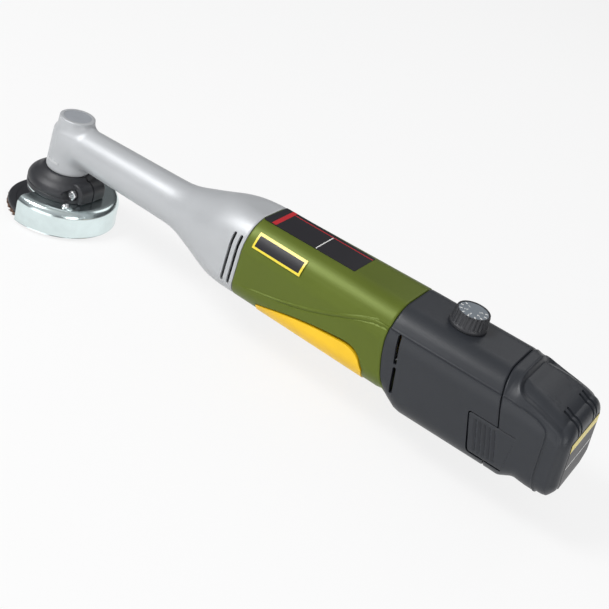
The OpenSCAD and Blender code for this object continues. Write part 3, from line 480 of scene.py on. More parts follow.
def handle_ring(width, top, bottom, top_r, low_r):
    """Section points (y, z) from the middle of the underside round by -Y and the top."""
    half = []
    for i in range(LOW_STEPS // 2 + 1):
        half.append((-(width - low_r) * i / (LOW_STEPS // 2), bottom))
    for i in range(1, CORNER_STEPS + 1):
        a = math.pi / 2 * i / CORNER_STEPS
        half.append((-(width - low_r) - low_r * math.sin(a), bottom + low_r - low_r * math.cos(a)))
    z0 = bottom + low_r
    z1 = top - top_r
    for i in range(1, SIDE_STEPS + 1):
        half.append((-width, z0 + (z1 - z0) * i / SIDE_STEPS))
    for i in range(1, CORNER_STEPS + 1):
        a = math.pi / 2 * i / CORNER_STEPS
        half.append((-(width - top_r) - top_r * math.cos(a), z1 + top_r * math.sin(a)))
    for i in range(1, TOP_STEPS // 2 + 1):
        half.append((-(width - top_r) * (1 - i / (TOP_STEPS // 2)), top))
    mirrored = [(-y, z) for y, z in reversed(half[1:-1])]
    return half + mirrored


# The section is a weighted sum of these five rings, one for each of its sizes
RING_PARTS = np.array([handle_ring(*row) for row in np.eye(5)])
RING_SIZE = RING_PARTS.shape[1]


def section(sizes):
    """Section points for arrays of sizes, in the order that handle_ring takes them."""
    y = sum(size * part[:, 0] for size, part in zip(sizes, RING_PARTS))
    z = sum(size * part[:, 1] for size, part in zip(sizes, RING_PARTS))
    return y, z


def handle_section(x, inset=0.0):
    """Section of the handle at the places x, drawn in by the inset."""
    return section((np.interp(x, *HALF_WIDTH) - inset, TOP_Z - inset,
                    np.interp(x, *UNDERSIDE) + inset, TOP_R - inset, LOW_R - inset))


def ring_at(x, inset=0.0):
    """Section points of the handle at one place."""
    return list(zip(*handle_section(np.full(RING_SIZE, float(x)), inset)))


def seam_x_at(z):
    """Place of the curved seam between the green and the charcoal shells."""
    drop = np.minimum(0.0, z - SEAM_CURVE_Z)
    return MID_X + SEAM_CURVE_R - np.sqrt(SEAM_CURVE_R ** 2 - drop * drop)


def pack_seam(z):
    """Place of the seam in front of the battery, which leans forward above its bend."""
    return PACK_X - SEAM_LEAN * np.maximum(0.0, z - SEAM_BEND_Z)


def carve(x, y, z, relief):
    """Points of stacked sections, moved in by the depth of the relief."""
    ty = np.roll(y, -1, axis=1) - np.roll(y, 1, axis=1)
    tz = np.roll(z, -1, axis=1) - np.roll(z, 1, axis=1)
    length = np.maximum(np.hypot(ty, tz), 1e-6)
    depth = relief(x, y, z) if relief else 0.0
    return np.stack([x, y + tz / length * depth, z - ty / length * depth], axis=-1)


def handle_loft(name, start, end, stations, relief=None, inset=0.0, look=None):
    """A closed solid along the handle between two ends given as functions of z."""
    t = np.array(stations)[:, None]
    x = start(NECK_Z) * (1 - t) + end(NECK_Z) * t + np.zeros(RING_SIZE)
    for _ in range(3):
        z = handle_section(x, inset)[1]
        x = start(z) * (1 - t) + end(z) * t + 0 * z
    points = carve(x, *handle_section(x, inset), relief)
    return make_piece(name, points.reshape(-1, 3).tolist(), loft_faces(len(stations), RING_SIZE),
                      look)


def plain_loft(name, x0, x1, count, inset, look=None):
    """A closed solid along the handle with flat ends, drawn in by the inset."""
    return handle_loft(name, lambda z: x0, lambda z: x1, even(count), None, inset, look)


def even(count):
    """Even stations from 0 to 1."""
    return [i / count for i in range(count + 1)]


def dense_ends(edge, first, count):
    """Stations from 0 to 1 that are even, but for some close together at both ends."""
    middle = [first + (1 - 2 * first) * i / count for i in range(count + 1)]
    return [0.0, edge, 2 * edge] + middle + [1 - 2 * edge, 1 - edge, 1.0]


def groove(distance, width, depth):
    """Depth of a rounded groove at a distance from its middle."""
    ratio = np.minimum(np.abs(distance) / width, 1.0)
    return depth * (1 - ratio * ratio) ** 2


def step(distance, width, depth):
    """Depth of a soft step that is full where the distance is positive."""
    t = np.clip(distance / width + 0.5, 0.0, 1.0)
    return depth * t * t * (3 - 2 * t)


def ridge(distance):
    """Depth of a ledge whose lower edge stands out as a thin bead."""
    return step(distance, 0.3, 0.5) - groove(distance, 0.55, 0.35)


def rise(value, low, high):
    """A factor that grows from 0 to 1 between two values."""
    return np.clip((value - low) / (high - low), 0.0, 1.0)


def bend(places, heights):
    """A smooth curve through the given points, as two lists."""
    p = np.array(list(zip(places, heights)))
    p = np.vstack([2 * p[0] - p[1], p, 2 * p[-1] - p[-2]])
    curve = []
    for a, b, c, d in zip(p, p[1:], p[2:], p[3:]):
        for t in np.arange(6) / 6:
            curve.append(0.5 * (2 * b + (c - a) * t + (2 * a - 5 * b + 4 * c - d) * t ** 2
                                + (3 * b - a - 3 * c + d) * t ** 3))
    curve = np.array(curve + [p[-2]])
    return curve[:, 0], curve[:, 1]


def above(curve, x, z):
    """Distance from a curve in side view, positive above it."""
    best = np.full(np.shape(x), 99.0)
    for x0, z0, x1, z1 in zip(curve[0], curve[1], curve[0][1:], curve[1][1:]):
        ex, ez = x1 - x0, z1 - z0
        t = np.clip(((x - x0) * ex + (z - z0) * ez) / (ex * ex + ez * ez), 0.0, 1.0)
        best = np.minimum(best, np.hypot(x - x0 - ex * t, z - z0 - ez * t))
    return np.where(z > np.interp(x, *curve), best, -best)


# Casting: head, neck and the bell that widens to the handle
HEAD_Z = [20.4, 20.7, 37.0, 38.9, 39.7, 40.5, 41.3, 42.2, BOSS_Z]
HEAD_RADII = [10.45, 10.62, 9.98, 9.9, 9.72, 9.2, 8.72, 8.5, 8.3]
LIP_Z = 20.45
COLLAR_Z = 14.45
COLLAR_R = 10.15
CASTING_GRAIN = 0.45
VENT_XS = (SEAM_X - 5.7, SEAM_X - 2.3)
VENT_LOW = NECK_Z - 9.4
VENT_HIGH = NECK_Z + 12.6
VENT_R = 0.75
CAP_SEAT_R = 6.55
CAP_SEAT_Z = 44.1
BEARING_SEAT_R = 7.5
BEARING_SEAT_Z = 18.6
NECK_RADII = ([0.0, 62.0, 67.0, 70.0, 76.0, 82.0, 87.0, 92.0, 97.0, 102.0, 107.0, 113.8],
              [9.35, 10.55, 10.75, 11.1, 13.1, 15.2, 16.95, 18.95, 20.65, 21.95, 22.9, 23.5])
BLEND = 3.4
BOSS_EDGE = 0.5


def head_radius(z):
    """Radius of the head at a height, smoothed over its shoulder."""
    return sum(np.interp(z + dz, HEAD_Z, HEAD_RADII) for dz in (-0.4, 0.0, 0.4)) / 3


def neck_radius(x):
    """Radius of the neck and bell before the flat sides cut it, smoothed along X."""
    return sum(np.interp(x + dx, *NECK_RADII) for dx in (-4.0, -2.0, 0.0, 2.0, 4.0)) / 5


def soft_min(a, b, k):
    """The smaller of two lengths, rounded where they are nearly equal."""
    h = np.maximum(k - np.abs(a - b), 0.0) / k
    return np.minimum(a, b) - h * h * k / 4


def handle_distance(x, y, z):
    """Distance from the handle's outline, which is a box with round corners."""
    half = np.interp(x, *HALF_WIDTH)
    upper = z > NECK_Z
    radius = np.where(upper, TOP_R, LOW_R)
    over = np.where(upper, z - (TOP_Z - radius), FRONT_Z + radius - z)
    aside = np.abs(y) - (half - radius)
    outside = np.hypot(np.maximum(aside, 0.0), np.maximum(over, 0.0))
    return outside + np.minimum(np.maximum(aside, over), 0.0) - radius


def neck_distance(x, y, z):
    """Distance from the neck and the bell, whose end has a small chamfer."""
    round_neck = np.hypot(y, z - NECK_Z) - neck_radius(x)
    corner = np.interp(x, [66.0, 95.0, SEAM_X], [3.0, 2.4, 0.8])
    bell = -soft_min(-round_neck, -handle_distance(np.maximum(x, 60.0), y, z), corner)
    lip = 0.35 * np.clip(1 - (SEAM_X - x) / 0.7, 0.0, 1.0) ** 2
    return np.where(x > 60, bell, round_neck) + lip


def casting_distance(p):
    """Distance from the surface of head, neck and bell, with every joint rounded."""
    x, y, z = p[:, 0], p[:, 1], p[:, 2]
    head = -soft_min(head_radius(z) - np.hypot(x, y), BOSS_Z - z, BOSS_EDGE)
    return soft_min(head, np.maximum(neck_distance(x, y, z), -x), BLEND)


def settle(obj, distance):
    """Moves the points of a mesh onto the surface where the distance is zero."""
    flat = np.empty(len(obj.data.vertices) * 3)
    obj.data.vertices.foreach_get("co", flat)
    p = flat.reshape(-1, 3) / MM
    h = 0.04
    for _ in range(6):
        slope = np.stack([(distance(p + d) - distance(p - d)) / (2 * h)
                          for d in np.eye(3) * h], axis=1)
        size = np.maximum(np.linalg.norm(slope, axis=1), 0.3)
        move = np.clip(distance(p), -0.4, 0.4) / size
        p = p - slope / size[:, None] * move[:, None]
    obj.data.vertices.foreach_set("co", (p * MM).ravel())
    obj.data.update()


def head_part():
    """The round head as a turned solid."""
    low = LIP_Z - 2
    stack = [(AXIS_R, low), (HEAD_RADII[0], low)]
    stack += [(float(head_radius(z)), z) for z in np.linspace(low + 0.5, BOSS_Z, 60)]
    stack.append((AXIS_R, BOSS_Z))
    return make_piece("neck_casting", *turned_solid(stack, 96), CAST)


def neck_part():
    """Neck and bell as a closed tube whose rings are drawn onto their surface."""
    around = 96
    stations = np.linspace(2.0, SEAM_X + 2, 110)
    along, turn = np.meshgrid(stations, np.linspace(0, 2 * math.pi, around, endpoint=False),
                              indexing="ij")
    reach = neck_radius(along)
    for _ in range(12):
        reach = reach - neck_distance(along, reach * np.cos(turn), NECK_Z + reach * np.sin(turn))
    tube = np.stack([along, reach * np.cos(turn), NECK_Z + reach * np.sin(turn)], axis=-1)
    return make_piece("neck_part", tube.reshape(-1, 3).tolist(),
                      loft_faces(len(stations), around), CAST)


def build_casting():
    """Head, neck and bell in one smooth skin, with vents, cap seat and bearing seat cut."""
    casting = head_part()
    combine(casting, [neck_part()], "UNION")
    even_skin = casting.modifiers.new("skin", "REMESH")
    even_skin.mode = "VOXEL"
    even_skin.voxel_size = CASTING_GRAIN * MM
    combine(casting, [])
    settle(casting, casting_distance)

    ends = [flat_prism("cut_low", box(-20, -20, 20, 20), 0, LIP_Z),
            side_prism("cut_end", box(SEAM_X - 0.1, 0, SEAM_X + 9, 80), -FAR, FAR)]
    combine(casting, ends, sharp=50.0)
    collar = turned_solid([(AXIS_R, COLLAR_Z), (COLLAR_R, COLLAR_Z), (COLLAR_R, LIP_Z + 1),
                           (AXIS_R, LIP_Z + 1)], 128)
    combine(casting, [make_piece("collar", *collar, CAST)], "UNION", sharp=50.0)

    cutters = [hollow_bell()]
    for x in VENT_XS:
        cutters += side_cuts("cut_slot", slot_outline(x, VENT_LOW, x, VENT_HIGH, VENT_R), 15.0)
    cutters.append(flat_prism("cut_cap", circle(0, 0, CAP_SEAT_R, 72), CAP_SEAT_Z, FAR))
    cutters.append(flat_prism("cut_seat", circle(0, 0, BEARING_SEAT_R, 72), 0, BEARING_SEAT_Z))
    combine(casting, cutters, sharp=50.0)
    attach(casting, "housing")
    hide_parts("gear_housing")


def hollow_bell():
    """The room inside the wide end of the bell, which makes its vents look dark."""
    points = []
    for x, inset in ((103.0, 1.8), (SEAM_X + 1, 1.0)):
        points += [(x, y, z) for y, z in ring_at(x, inset)]
    return make_piece("bell_room", points, loft_faces(2, RING_SIZE), BLACK)


def build_direction_mark():
    """A raised arrow on the head that shows which way the disc turns."""
    z_mid, bar, tip = 24.6, 0.55, 1.25
    turns = [-128 + 2.5 * i for i in range(21)]
    points = []
    for turn in turns:
        half = bar if turn > -118 else tip * (turn + 128) / 10
        a = math.radians(turn)
        for lift, side in ((-0.3, -1), (-0.3, 1), (0.28, 1), (0.28, -1)):
            z = z_mid + side * max(half, 0.05)
            radius = head_radius(z) + lift
            points.append((radius * math.cos(a), radius * math.sin(a), z))
    mark = make_piece("direction_mark", points, loft_faces(len(turns), 4), CAST, "housing",
                      sharp=30.0)


# Guard, clamp ring and their screws
GUARD_HALF_ANGLE = 98.0
GUARD_UNDER = 8.4
GUARD_BORE = 13.45
CLAMP_X = 13.2
CLAMP_Z = 13.6
LUG_R = 4.9
LUG_Y = 8.4
SPLIT_W = 0.35
PLATE_SCREWS = ((-45, "left"), (75, "right"))
PLATE_SCREW_R = 20.4


def build_guard():
    """Bright sheet guard: flat plate, rolled edge, skirt and a small bead."""
    outer = smooth_path([(GUARD_BORE, GUARD_TOP), (24.1, GUARD_TOP), (25.6, 8.75), (27.12, 6.6),
                         (27.12, -3.2), (27.3, -3.7)], [0, 1.4, 1.4, 2.6, 0.3, 0], 8)
    inner = smooth_path([(26.5, -3.7), (26.35, -3.2), (26.35, 6.0), (25.0, 7.9),
                         (23.8, GUARD_UNDER), (GUARD_BORE, GUARD_UNDER)],
                        [0, 0.2, 2.0, 1.2, 1.2, 0], 8)
    sheet = turned_sector(outer + inner, 150, -GUARD_HALF_ANGLE, GUARD_HALF_ANGLE)
    guard = make_piece("guard_sheet", *sheet, ZINC, sharp=50.0)
    plate = turned_sector([(GUARD_BORE, GUARD_TOP), (17.3, GUARD_TOP), (17.45, 9.3), (17.45, 8.5),
                           (17.3, GUARD_UNDER), (GUARD_BORE, GUARD_UNDER)], 60,
                          GUARD_HALF_ANGLE - 1, 361 - GUARD_HALF_ANGLE)
    combine(guard, [make_piece("guard_collar", *plate, ZINC)], "UNION", sharp=50.0)
    bevel_edges(guard, 0.12, 2, 60)
    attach(guard, "guard")
    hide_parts("guard")


def clamp_lug():
    """Rounded lug of the clamp ring, cut out for the neck of the head."""
    outline = [(CLAMP_X - LUG_R, 9.43), (CLAMP_X + LUG_R, 9.43)]
    for turn in range(-10, 191, 8):
        a = math.radians(turn)
        outline.append((CLAMP_X + LUG_R * math.cos(a), CLAMP_Z + LUG_R * math.sin(a)))
    lug = side_prism("lug", outline, -LUG_Y, LUG_Y)
    bevel_edges(lug, 1.1, 5, 60)
    combine(lug, [flat_prism("cut_core", circle(0, 0, 10.6, 90), 5, 40)])
    return lug


def build_clamp():
    """Moulded split ring: a tyre-like side with a groove, a domed top and the screw's lug."""
    outer = smooth_path([(17.75, 9.42), (18.0, 9.7), (18.0, 11.5), (17.66, 11.7), (17.66, 12.0),
                         (18.0, 12.2), (18.0, 13.6), (17.2, 15.3), (15.4, 16.9), (13.6, 18.0),
                         (11.6, 19.8), (10.25, 19.95)],
                        [0, 0.2, 0.12, 0.1, 0.1, 0.12, 0.8, 0.9, 0.9, 0.8, 0.6, 0], 6)
    ring = outer + [(10.25, 9.0), (10.25, 7.0), (17.4, 7.0), (17.4, 8.35), (13.38, 8.38),
                    (13.38, 9.42)]
    clamp = make_piece("clamp_ring", *turned_ring(ring, 180), BLACK)
    lug = clamp_lug()
    flange = turned_sector(box(16.0, 7.0, 22.6, 8.35), 90, -GUARD_HALF_ANGLE, GUARD_HALF_ANGLE)
    combine(clamp, [lug, make_piece("under_flange", *flange, BLACK)], "UNION")
    combine(clamp, [
        flat_prism("cut_split", box(9.0, -SPLIT_W, 40.0, SPLIT_W), 5, 40),
        side_prism("cut_head", circle(CLAMP_X, CLAMP_Z, 2.7), -30, 0.6 - LUG_Y),
        side_prism("cut_nut", circle(CLAMP_X, CLAMP_Z, 3.0), LUG_Y - 0.1, 30),
        side_prism("cut_bolt", circle(CLAMP_X, CLAMP_Z, 1.35), -12, 12),
    ])
    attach(clamp, "guard")
    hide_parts("guard_clamp")


def build_clamp_bolt():
    """Cap screw through the lug, with a rounded head at -Y and a hexagonal key hole."""
    head_r, head_h, shank_r, shank_l, key_r = 2.4, 2.3, 1.25, 18.3, 1.2

    def place(u, v, h):
        return (CLAMP_X + u, -LUG_Y - h, CLAMP_Z + v)

    profile = smooth_path([(AXIS_R, -shank_l), (shank_r, -shank_l), (shank_r, 0.0), (head_r, 0.0),
                           (head_r, head_h), (AXIS_R, head_h)], [0, 0.1, 0, 0.15, 0.35, 0], 4)
    points, faces = turned_solid(profile, 48)
    bolt = make_piece("clamp_bolt", [place(*p) for p in points], faces, BRIGHT)
    combine(bolt, [prism("cut_key", circle(0, 0, key_r, 6), place, head_h - 1.2, head_h + 2)])
    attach(bolt, "guard")
    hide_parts("clamp_screw")


def build_plate_screws():
    """The two screws with crossed slots that hold the guard's plate."""
    profile = smooth_path([(AXIS_R, -2.6), (1.1, -2.6), (1.1, 0.0), (1.9, 0.0), (1.85, 0.7),
                           (1.1, 1.35), (AXIS_R, 1.4)], [0, 0, 0, 0.1, 0.5, 0.5, 0], 4)
    points, faces = turned_solid(profile, 40)
    for turn, word in PLATE_SCREWS:
        a = math.radians(turn)
        x, y = PLATE_SCREW_R * math.cos(a), PLATE_SCREW_R * math.sin(a)
        moved = [(x + p[0], y + p[1], GUARD_TOP + p[2]) for p in points]
        screw = make_piece("plate_screw_" + word, moved, faces, BRIGHT)
        combine(screw, [flat_prism("cut_cross", box(x - u, y - v, x + u, y + v),
                                   GUARD_TOP + 0.75, GUARD_TOP + 3)
                        for u, v in ((1.2, 0.2), (0.2, 1.2))])
        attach(screw, "guard")
    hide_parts("guard_screws")


# Flap disc
def build_backing():
    """Backing plate of the disc, with its raised rim band."""
    profile = smooth_path([(5.05, -1.55), (5.05, -0.02), (9.4, -0.02), (9.7, -0.3), (21.0, -0.3),
                           (21.6, -0.05), (24.6, -0.05), (25.2, -0.5), (25.3, -1.55)],
                          [0, 0.1, 0.1, 0.2, 0.3, 0.3, 0.4, 0.4, 0], 4)
    plate = make_piece("disc_plate", *turned_ring(profile, 128), BLACK, "spindle")
    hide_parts("disc_backing")


def build_flaps():
    """Overlapping flaps of abrasive cloth with ragged ends."""
    count, along, across = 40, 10, 8
    inner, width, thickness = 14.3, 17.0, 0.32
    points, faces = [], []
    for k in range(count):
        base_turn = 360.0 * k / count + rng.uniform(-1.2, 1.2)
        reach = 25.6 + rng.uniform(-0.3, 0.2)
        notch = [rng.uniform(-0.35, 0.12) for _ in range(across + 1)]
        faces += plate_faces(along, across, len(points))
        for side in (0, 1):
            for i in range(along + 1):
                t = i / along
                for j in range(across + 1):
                    s = j / across
                    radius = inner + (reach + notch[j] * (t > 0.85) - inner) * t
                    turn = math.radians(base_turn + width * s)
                    height = -1.72 - 1.75 * (1 - s) ** 1.2 - 0.25 * t - side * thickness
                    height += 0.10 * math.sin(5 * s + k) * t
                    points.append((radius * math.cos(turn), radius * math.sin(turn), height))
    flaps = make_piece("disc_flap_ring", points, faces, FLAPS, "spindle", sharp=25.0)
    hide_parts("disc_flaps")


# Green shells
SWOOSH_TOP = bend([106.0, 118.3, 126.5, 135.0, 145.0, 155.1, 165.6, 173.1, 178.3, 181.9, 200.0],
                  [24.6, 26.9, 28.6, 30.5, 33.4, 36.9, 41.6, 45.0, 46.7, 47.3, 47.4])
SWOOSH_LOW = bend([106.0, 126.0, 135.2, 147.0, 158.0, 168.4, 176.0, 182.3, 200.0],
                  [23.6, 27.7, 29.6, 32.6, 36.6, 41.2, 44.3, 45.9, 47.3])
RIDGE_Z = 47.1


def lip(distance):
    """Rounded edge of a shell beside a seam."""
    return 0.4 * np.clip(1 - distance / 0.6, 0.0, 1.0) ** 2


def front_relief(x, y, z):
    """Swoosh creases, seam lips and the parting line of the green shells."""
    side = np.where(np.abs(y) > 9, rise(TOP_Z - 1.5 - z, 0.0, 5.0), 0.0)
    crease = step(above(SWOOSH_TOP, x, z), 0.4, 0.5) * rise(x, 114.0, 124.0)
    crease = crease + groove(above(SWOOSH_LOW, x, z), 0.5, 0.4) * rise(x, 128.0, 140.0)
    depth = crease * side + lip(x - SEAM_X - SEAM_GAP) + lip(seam_x_at(z) - SEAM_GAP - x)
    return depth + groove(y, 0.3, 0.25) * (z < NECK_Z)


PADDLE_X0 = 126.7
PADDLE_X1 = 182.0
PADDLE_BASE = 5.0
PADDLE_TOP = ([PADDLE_X0, 136.0, 146.0, 156.0, 164.0, 171.0, 175.4, 179.0, 181.2, PADDLE_X1],
              [22.0, 24.9, 27.2, 28.9, 29.8, 30.5, 30.0, 27.8, 25.0, 21.6])
SCREW_PLACES = [(156.5, 50.0), (184.0, 49.6), (186.0, 22.6)]
REAR_SCREW_PLACES = [(200.4, 49.6), (201.0, 18.4)]
RECESS_R = 2.9
RECESS_Y = 12.6


def paddle_side(grow, lift):
    """Closed side view of the paddle, grown at its ends and raised at its top."""
    xs = [PADDLE_X0 + (PADDLE_X1 - PADDLE_X0) * i / 60 for i in range(61)]
    xs[0] -= grow
    xs[-1] += grow
    outline = []
    for x in xs:
        z = sum(float(np.interp(x + d, *PADDLE_TOP)) for d in (-1.6, -0.8, 0, 0.8, 1.6)) / 5
        outline.append((x, z + lift * (0.3 + 0.7 * float(rise(x, PADDLE_X0, 171.0)))))
    return [(xs[0], PADDLE_BASE)] + outline + [(xs[-1], PADDLE_BASE)]


def handle_hollow(x0, x1):
    """Inner space of the shells, as a solid to cut away."""
    return plain_loft("hollow", x0, x1, 24, WALL)


def screw_recesses(places):
    """Round recesses for the housing screws, which are on the +Y side."""
    return [side_prism("cut_screw", circle(x, z, RECESS_R, 32), RECESS_Y, FAR)
            for x, z in places]


def build_front_shell():
    """Green shells with the paddle opening, creases and screw recesses."""
    shell = handle_loft("front_shells", lambda z: SEAM_X + SEAM_GAP,
                        lambda z: seam_x_at(z) - SEAM_GAP, dense_ends(0.003, 0.01, 190),
                        front_relief, 0.0, GREEN)
    cutters = [handle_hollow(SEAM_X - 5, MID_X + 20),
               side_prism("cut_paddle", paddle_side(0.3, 1.3), -FAR, FAR)]
    combine(shell, cutters + screw_recesses(SCREW_PLACES))
    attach(shell, "housing")
    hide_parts("housing_left", "housing_right")


def build_paddle():
    """Yellow cover under the handle, wrapped round the underside."""
    body = plain_loft("paddle_cover", PADDLE_X0, PADDLE_X1, 90, -0.4, YELLOW)
    keep = side_prism("keep", paddle_side(0.0, 0.0), -FAR, FAR)
    combine(body, [keep], "INTERSECT", sharp=50.0)
    combine(body, [plain_loft("hollow", 124.0, 185.0, 20, 1.8)], sharp=50.0)
    bevel_edges(body, 0.35, 3, 50)
    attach(body, "paddle")
    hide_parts("paddle")


# Charcoal rear shells
def rear_relief(x, y, z):
    """Ridge line, seam lips and parting line of the charcoal shells."""
    side = np.where(np.abs(y) > 9, rise(TOP_Z - 0.5 - z, 0.0, 5.0), 0.0)
    depth = ridge(z - RIDGE_Z) * side
    depth = depth + lip(x - seam_x_at(z) - SEAM_GAP) + lip(pack_seam(z) - REAR_GAP - x)
    return depth + groove(y, 0.3, 0.25) * (z < NECK_Z)


LATCH_Z0 = 17.9
LATCH_Z1 = 34.6
LATCH_X0 = 229.0
LATCH_X1 = 249.6
LATCH_T = 1.7


def latch_front(z):
    """Front edge of the latch tongue, which leans like the battery seam."""
    return LATCH_X0 + (LATCH_Z1 - z) * SEAM_LEAN


def latch_outline(grow, tail=0.0):
    """Side view of the tongue, with two rounded corners at its front."""
    low, high, end = LATCH_Z0 - grow, LATCH_Z1 + grow, LATCH_X1 + tail
    return rounded_outline([(latch_front(LATCH_Z0) - grow, low), (end, low), (end, high),
                            (LATCH_X0 - grow, high)], [1.8, 0.1, 0.1, 1.8])


def build_rear_shell():
    """Charcoal shells with vents, latch openings and the hollow for the battery."""
    shell = handle_loft("rear_shells", lambda z: seam_x_at(z) + SEAM_GAP,
                        lambda z: pack_seam(z) - REAR_GAP, dense_ends(0.005, 0.015, 110),
                        rear_relief, 0.0, CHARCOAL)
    cutters = [handle_hollow(MID_X - 12, PACK_X + 6)]
    cutters += side_cuts("cut_vent", slot_outline(194.3, 35.6, 191.9, 46.4, VENT_R), 15)
    cutters += side_cuts("cut_vent", slot_outline(196.9, 22.7, 195.0, 33.0, VENT_R), 15)
    cutters += side_cuts("cut_latch", latch_outline(0.5), 12)
    cutters.append(flat_prism("cut_dial", circle(DIAL_X, 0, 3.6), 40, 70))
    combine(shell, cutters + screw_recesses(REAR_SCREW_PLACES))
    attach(shell, "housing")
    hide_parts("rear_housing_left", "rear_housing_right")


def latch_relief(x, y, z):
    """Grooves between the ribs and the raised rim of the latch tongue."""
    along = x - latch_front(z)
    inside = rise(np.minimum(z - LATCH_Z0, LATCH_Z1 - z), 1.3, 2.0)
    ribs = sum(groove(along - 3.0 - 2.1 * k, 0.9, 0.6) for k in range(5)) * inside
    rim = np.minimum(along, np.minimum(z - LATCH_Z0, LATCH_Z1 - z))
    return 0.1 + ribs + 0.3 * np.clip(1 - rim / 0.6, 0.0, 1.0) ** 2


def build_latches():
    """Ribbed latch tongues with rounded corners, one on each side."""
    for side, body in ((-1, "latch_left"), (1, "latch_right")):
        tongue = handle_loft("latch_button_" + body[6:], lambda z: LATCH_X0 - 2,
                             lambda z: LATCH_X1 + 1, even(110), latch_relief, 0.0, CHARCOAL)
        reach = sorted((side * (REAR_HALF - LATCH_T), side * FAR))
        keep = side_prism("keep", latch_outline(0.0), *reach)
        combine(tongue, [keep], "INTERSECT", sharp=42.0)
        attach(tongue, body)
        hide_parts(body)


def side_width(x, z):
    """Half width of the handle's outer side at a height."""
    left = sorted((p[1], -p[0]) for p in ring_at(x) if p[0] < 0)
    return float(np.interp(z, [p[0] for p in left], [p[1] for p in left]))


# Battery case
BATTERY_TOP = bend([228.0, 240.0, 244.0, 250.0, 256.0, 261.0, 264.0, 266.3, 272.0],
                   [TOP_Z, TOP_Z, TOP_Z, 53.6, 52.3, 51.1, 50.1, 48.9, 45.5])
BATTERY_TOP_R = ([240.0, 250.0, 266.0], [TOP_R, 13.0, 9.5])
BATTERY_LOW = bend([230.0, 244.0, 248.5, 251.0, 254.5, 260.0, 300.0],
                   [REAR_Z, REAR_Z, REAR_Z, 13.3, PACK_Z, PACK_Z, PACK_Z])
BATTERY_LOW_R = ([249.5, 260.0], [LOW_R, 8.0])
REAR_ROUND = 4.6
LEAN = 0.132
LEAN_Z = 23.3
LINE_A = bend([230.0, 239.1, 247.7, 252.5, 256.2, 258.1, 258.9, 259.5, 260.6, 262.3, 268.0],
              [47.1, 47.1, 46.9, 46.3, 45.2, 44.0, 42.4, 38.8, 30.2, 21.0, 8.0])
LINE_B = bend([239.6, 240.0, 240.5, 241.1, 242.1, 243.6, 246.0, 251.2,
               258.1, 261.7, 263.4, 264.6, 265.4, 266.2, 268.0, 274.0],
              [58.0, 55.4, 54.0, 53.0, 51.9, 50.8, 50.0, 48.9,
               47.3, 46.2, 45.0, 42.6, 39.0, 34.0, 20.0, 2.0])
SCOOP_DEPTH = bend([236.0, 241.0, 245.0, 250.0, 256.0, 262.0, 266.0, 275.0],
                   [1.6, 1.9, 1.9, 1.2, 1.0, 0.8, 0.7, 0.6])
MARK_YS = (-10.3, -6.9, 6.9, 10.3)

# Side view and half width of the narrow slots over the battery's rear edge
SLOT_SIDE = [(259.2, 60.0), (275.0, 60.0), (275.0, 42.2), (267.4, 42.2), (266.4, 43.6),
             (264.6, 45.4), (262.0, 47.0), (259.2, 48.4)]
SLOT_HALF = 0.8


def battery_relief(x, y, z):
    """Ridges, scoop and faint mould lines of the battery."""
    shoulder = rise(x, 236.5, 238.5) * np.maximum(rise(np.abs(y), 8.0, 12.0), rise(x, 241, 246))
    depth = ridge(above(LINE_A, x, z)) * shoulder
    past = above(LINE_B, x, z)
    depth = depth + step(past - 0.7, 1.7, 1.0) * np.interp(x, *SCOOP_DEPTH)
    depth = depth - groove(past + 0.3, 0.6, 0.14) + lip(x - pack_seam(z) - PACK_GAP)
    lines = sum(groove(y - mark, 0.4, 0.12) for mark in MARK_YS) * rise(x, 251.0, 252.5)
    return depth + np.where((z > 46) & (x < 262), lines, 0.0)


def battery_section(x, inset):
    """Section of the battery at the places x, drawn in by the inset."""
    return section((REAR_HALF - inset, np.interp(x, *BATTERY_TOP) - inset,
                    np.interp(x, *BATTERY_LOW) + inset,
                    np.maximum(1.2, np.interp(x, *BATTERY_TOP_R) - inset),
                    np.maximum(1.2, np.interp(x, *BATTERY_LOW_R) - inset)))


def battery_solid(name, start, inset, count, relief, look):
    """The battery as a closed solid: body, rounded rear edge and leaning rear face."""
    last = END_X - REAR_ROUND - inset
    t = np.linspace(0.0, 1.0, count)[:, None]
    front = start(NECK_Z) + np.zeros(RING_SIZE)
    for _ in range(3):
        front = start(battery_section(front, inset)[1]) + np.zeros(RING_SIZE)
    along = front * (1 - t) + last * t
    turn = np.linspace(0, math.pi / 2, 21)[1:, None]
    draw = np.vstack([np.full((count, 1), inset), inset + REAR_ROUND * (1 - np.cos(turn))])
    rounded = last + REAR_ROUND * np.sin(turn) + np.zeros(RING_SIZE)
    y, z = battery_section(np.vstack([along, np.full((20, RING_SIZE), last)]), draw)
    x = np.vstack([along, rounded])
    lean = rise(x, 246.0, last) * LEAN * np.maximum(0.0, z - LEAN_Z)
    points = carve(x - lean, y, z, relief)
    edge = points[-1]
    rows = [points.reshape(-1, 3)]
    middle_z = 32.5
    shrinks = (0.85, 0.7, 0.55, 0.4, 0.25, 0.1)
    for shrink in shrinks:
        z_cap = middle_z + (edge[:, 2] - middle_z) * shrink
        x_cap = END_X - np.maximum(0.0, z_cap - LEAN_Z) * LEAN - inset
        rows.append(np.stack([x_cap, edge[:, 1] * shrink, z_cap], axis=-1))
    faces = loft_faces(len(points) + len(shrinks), RING_SIZE)
    return make_piece(name, np.vstack(rows).tolist(), faces, look)


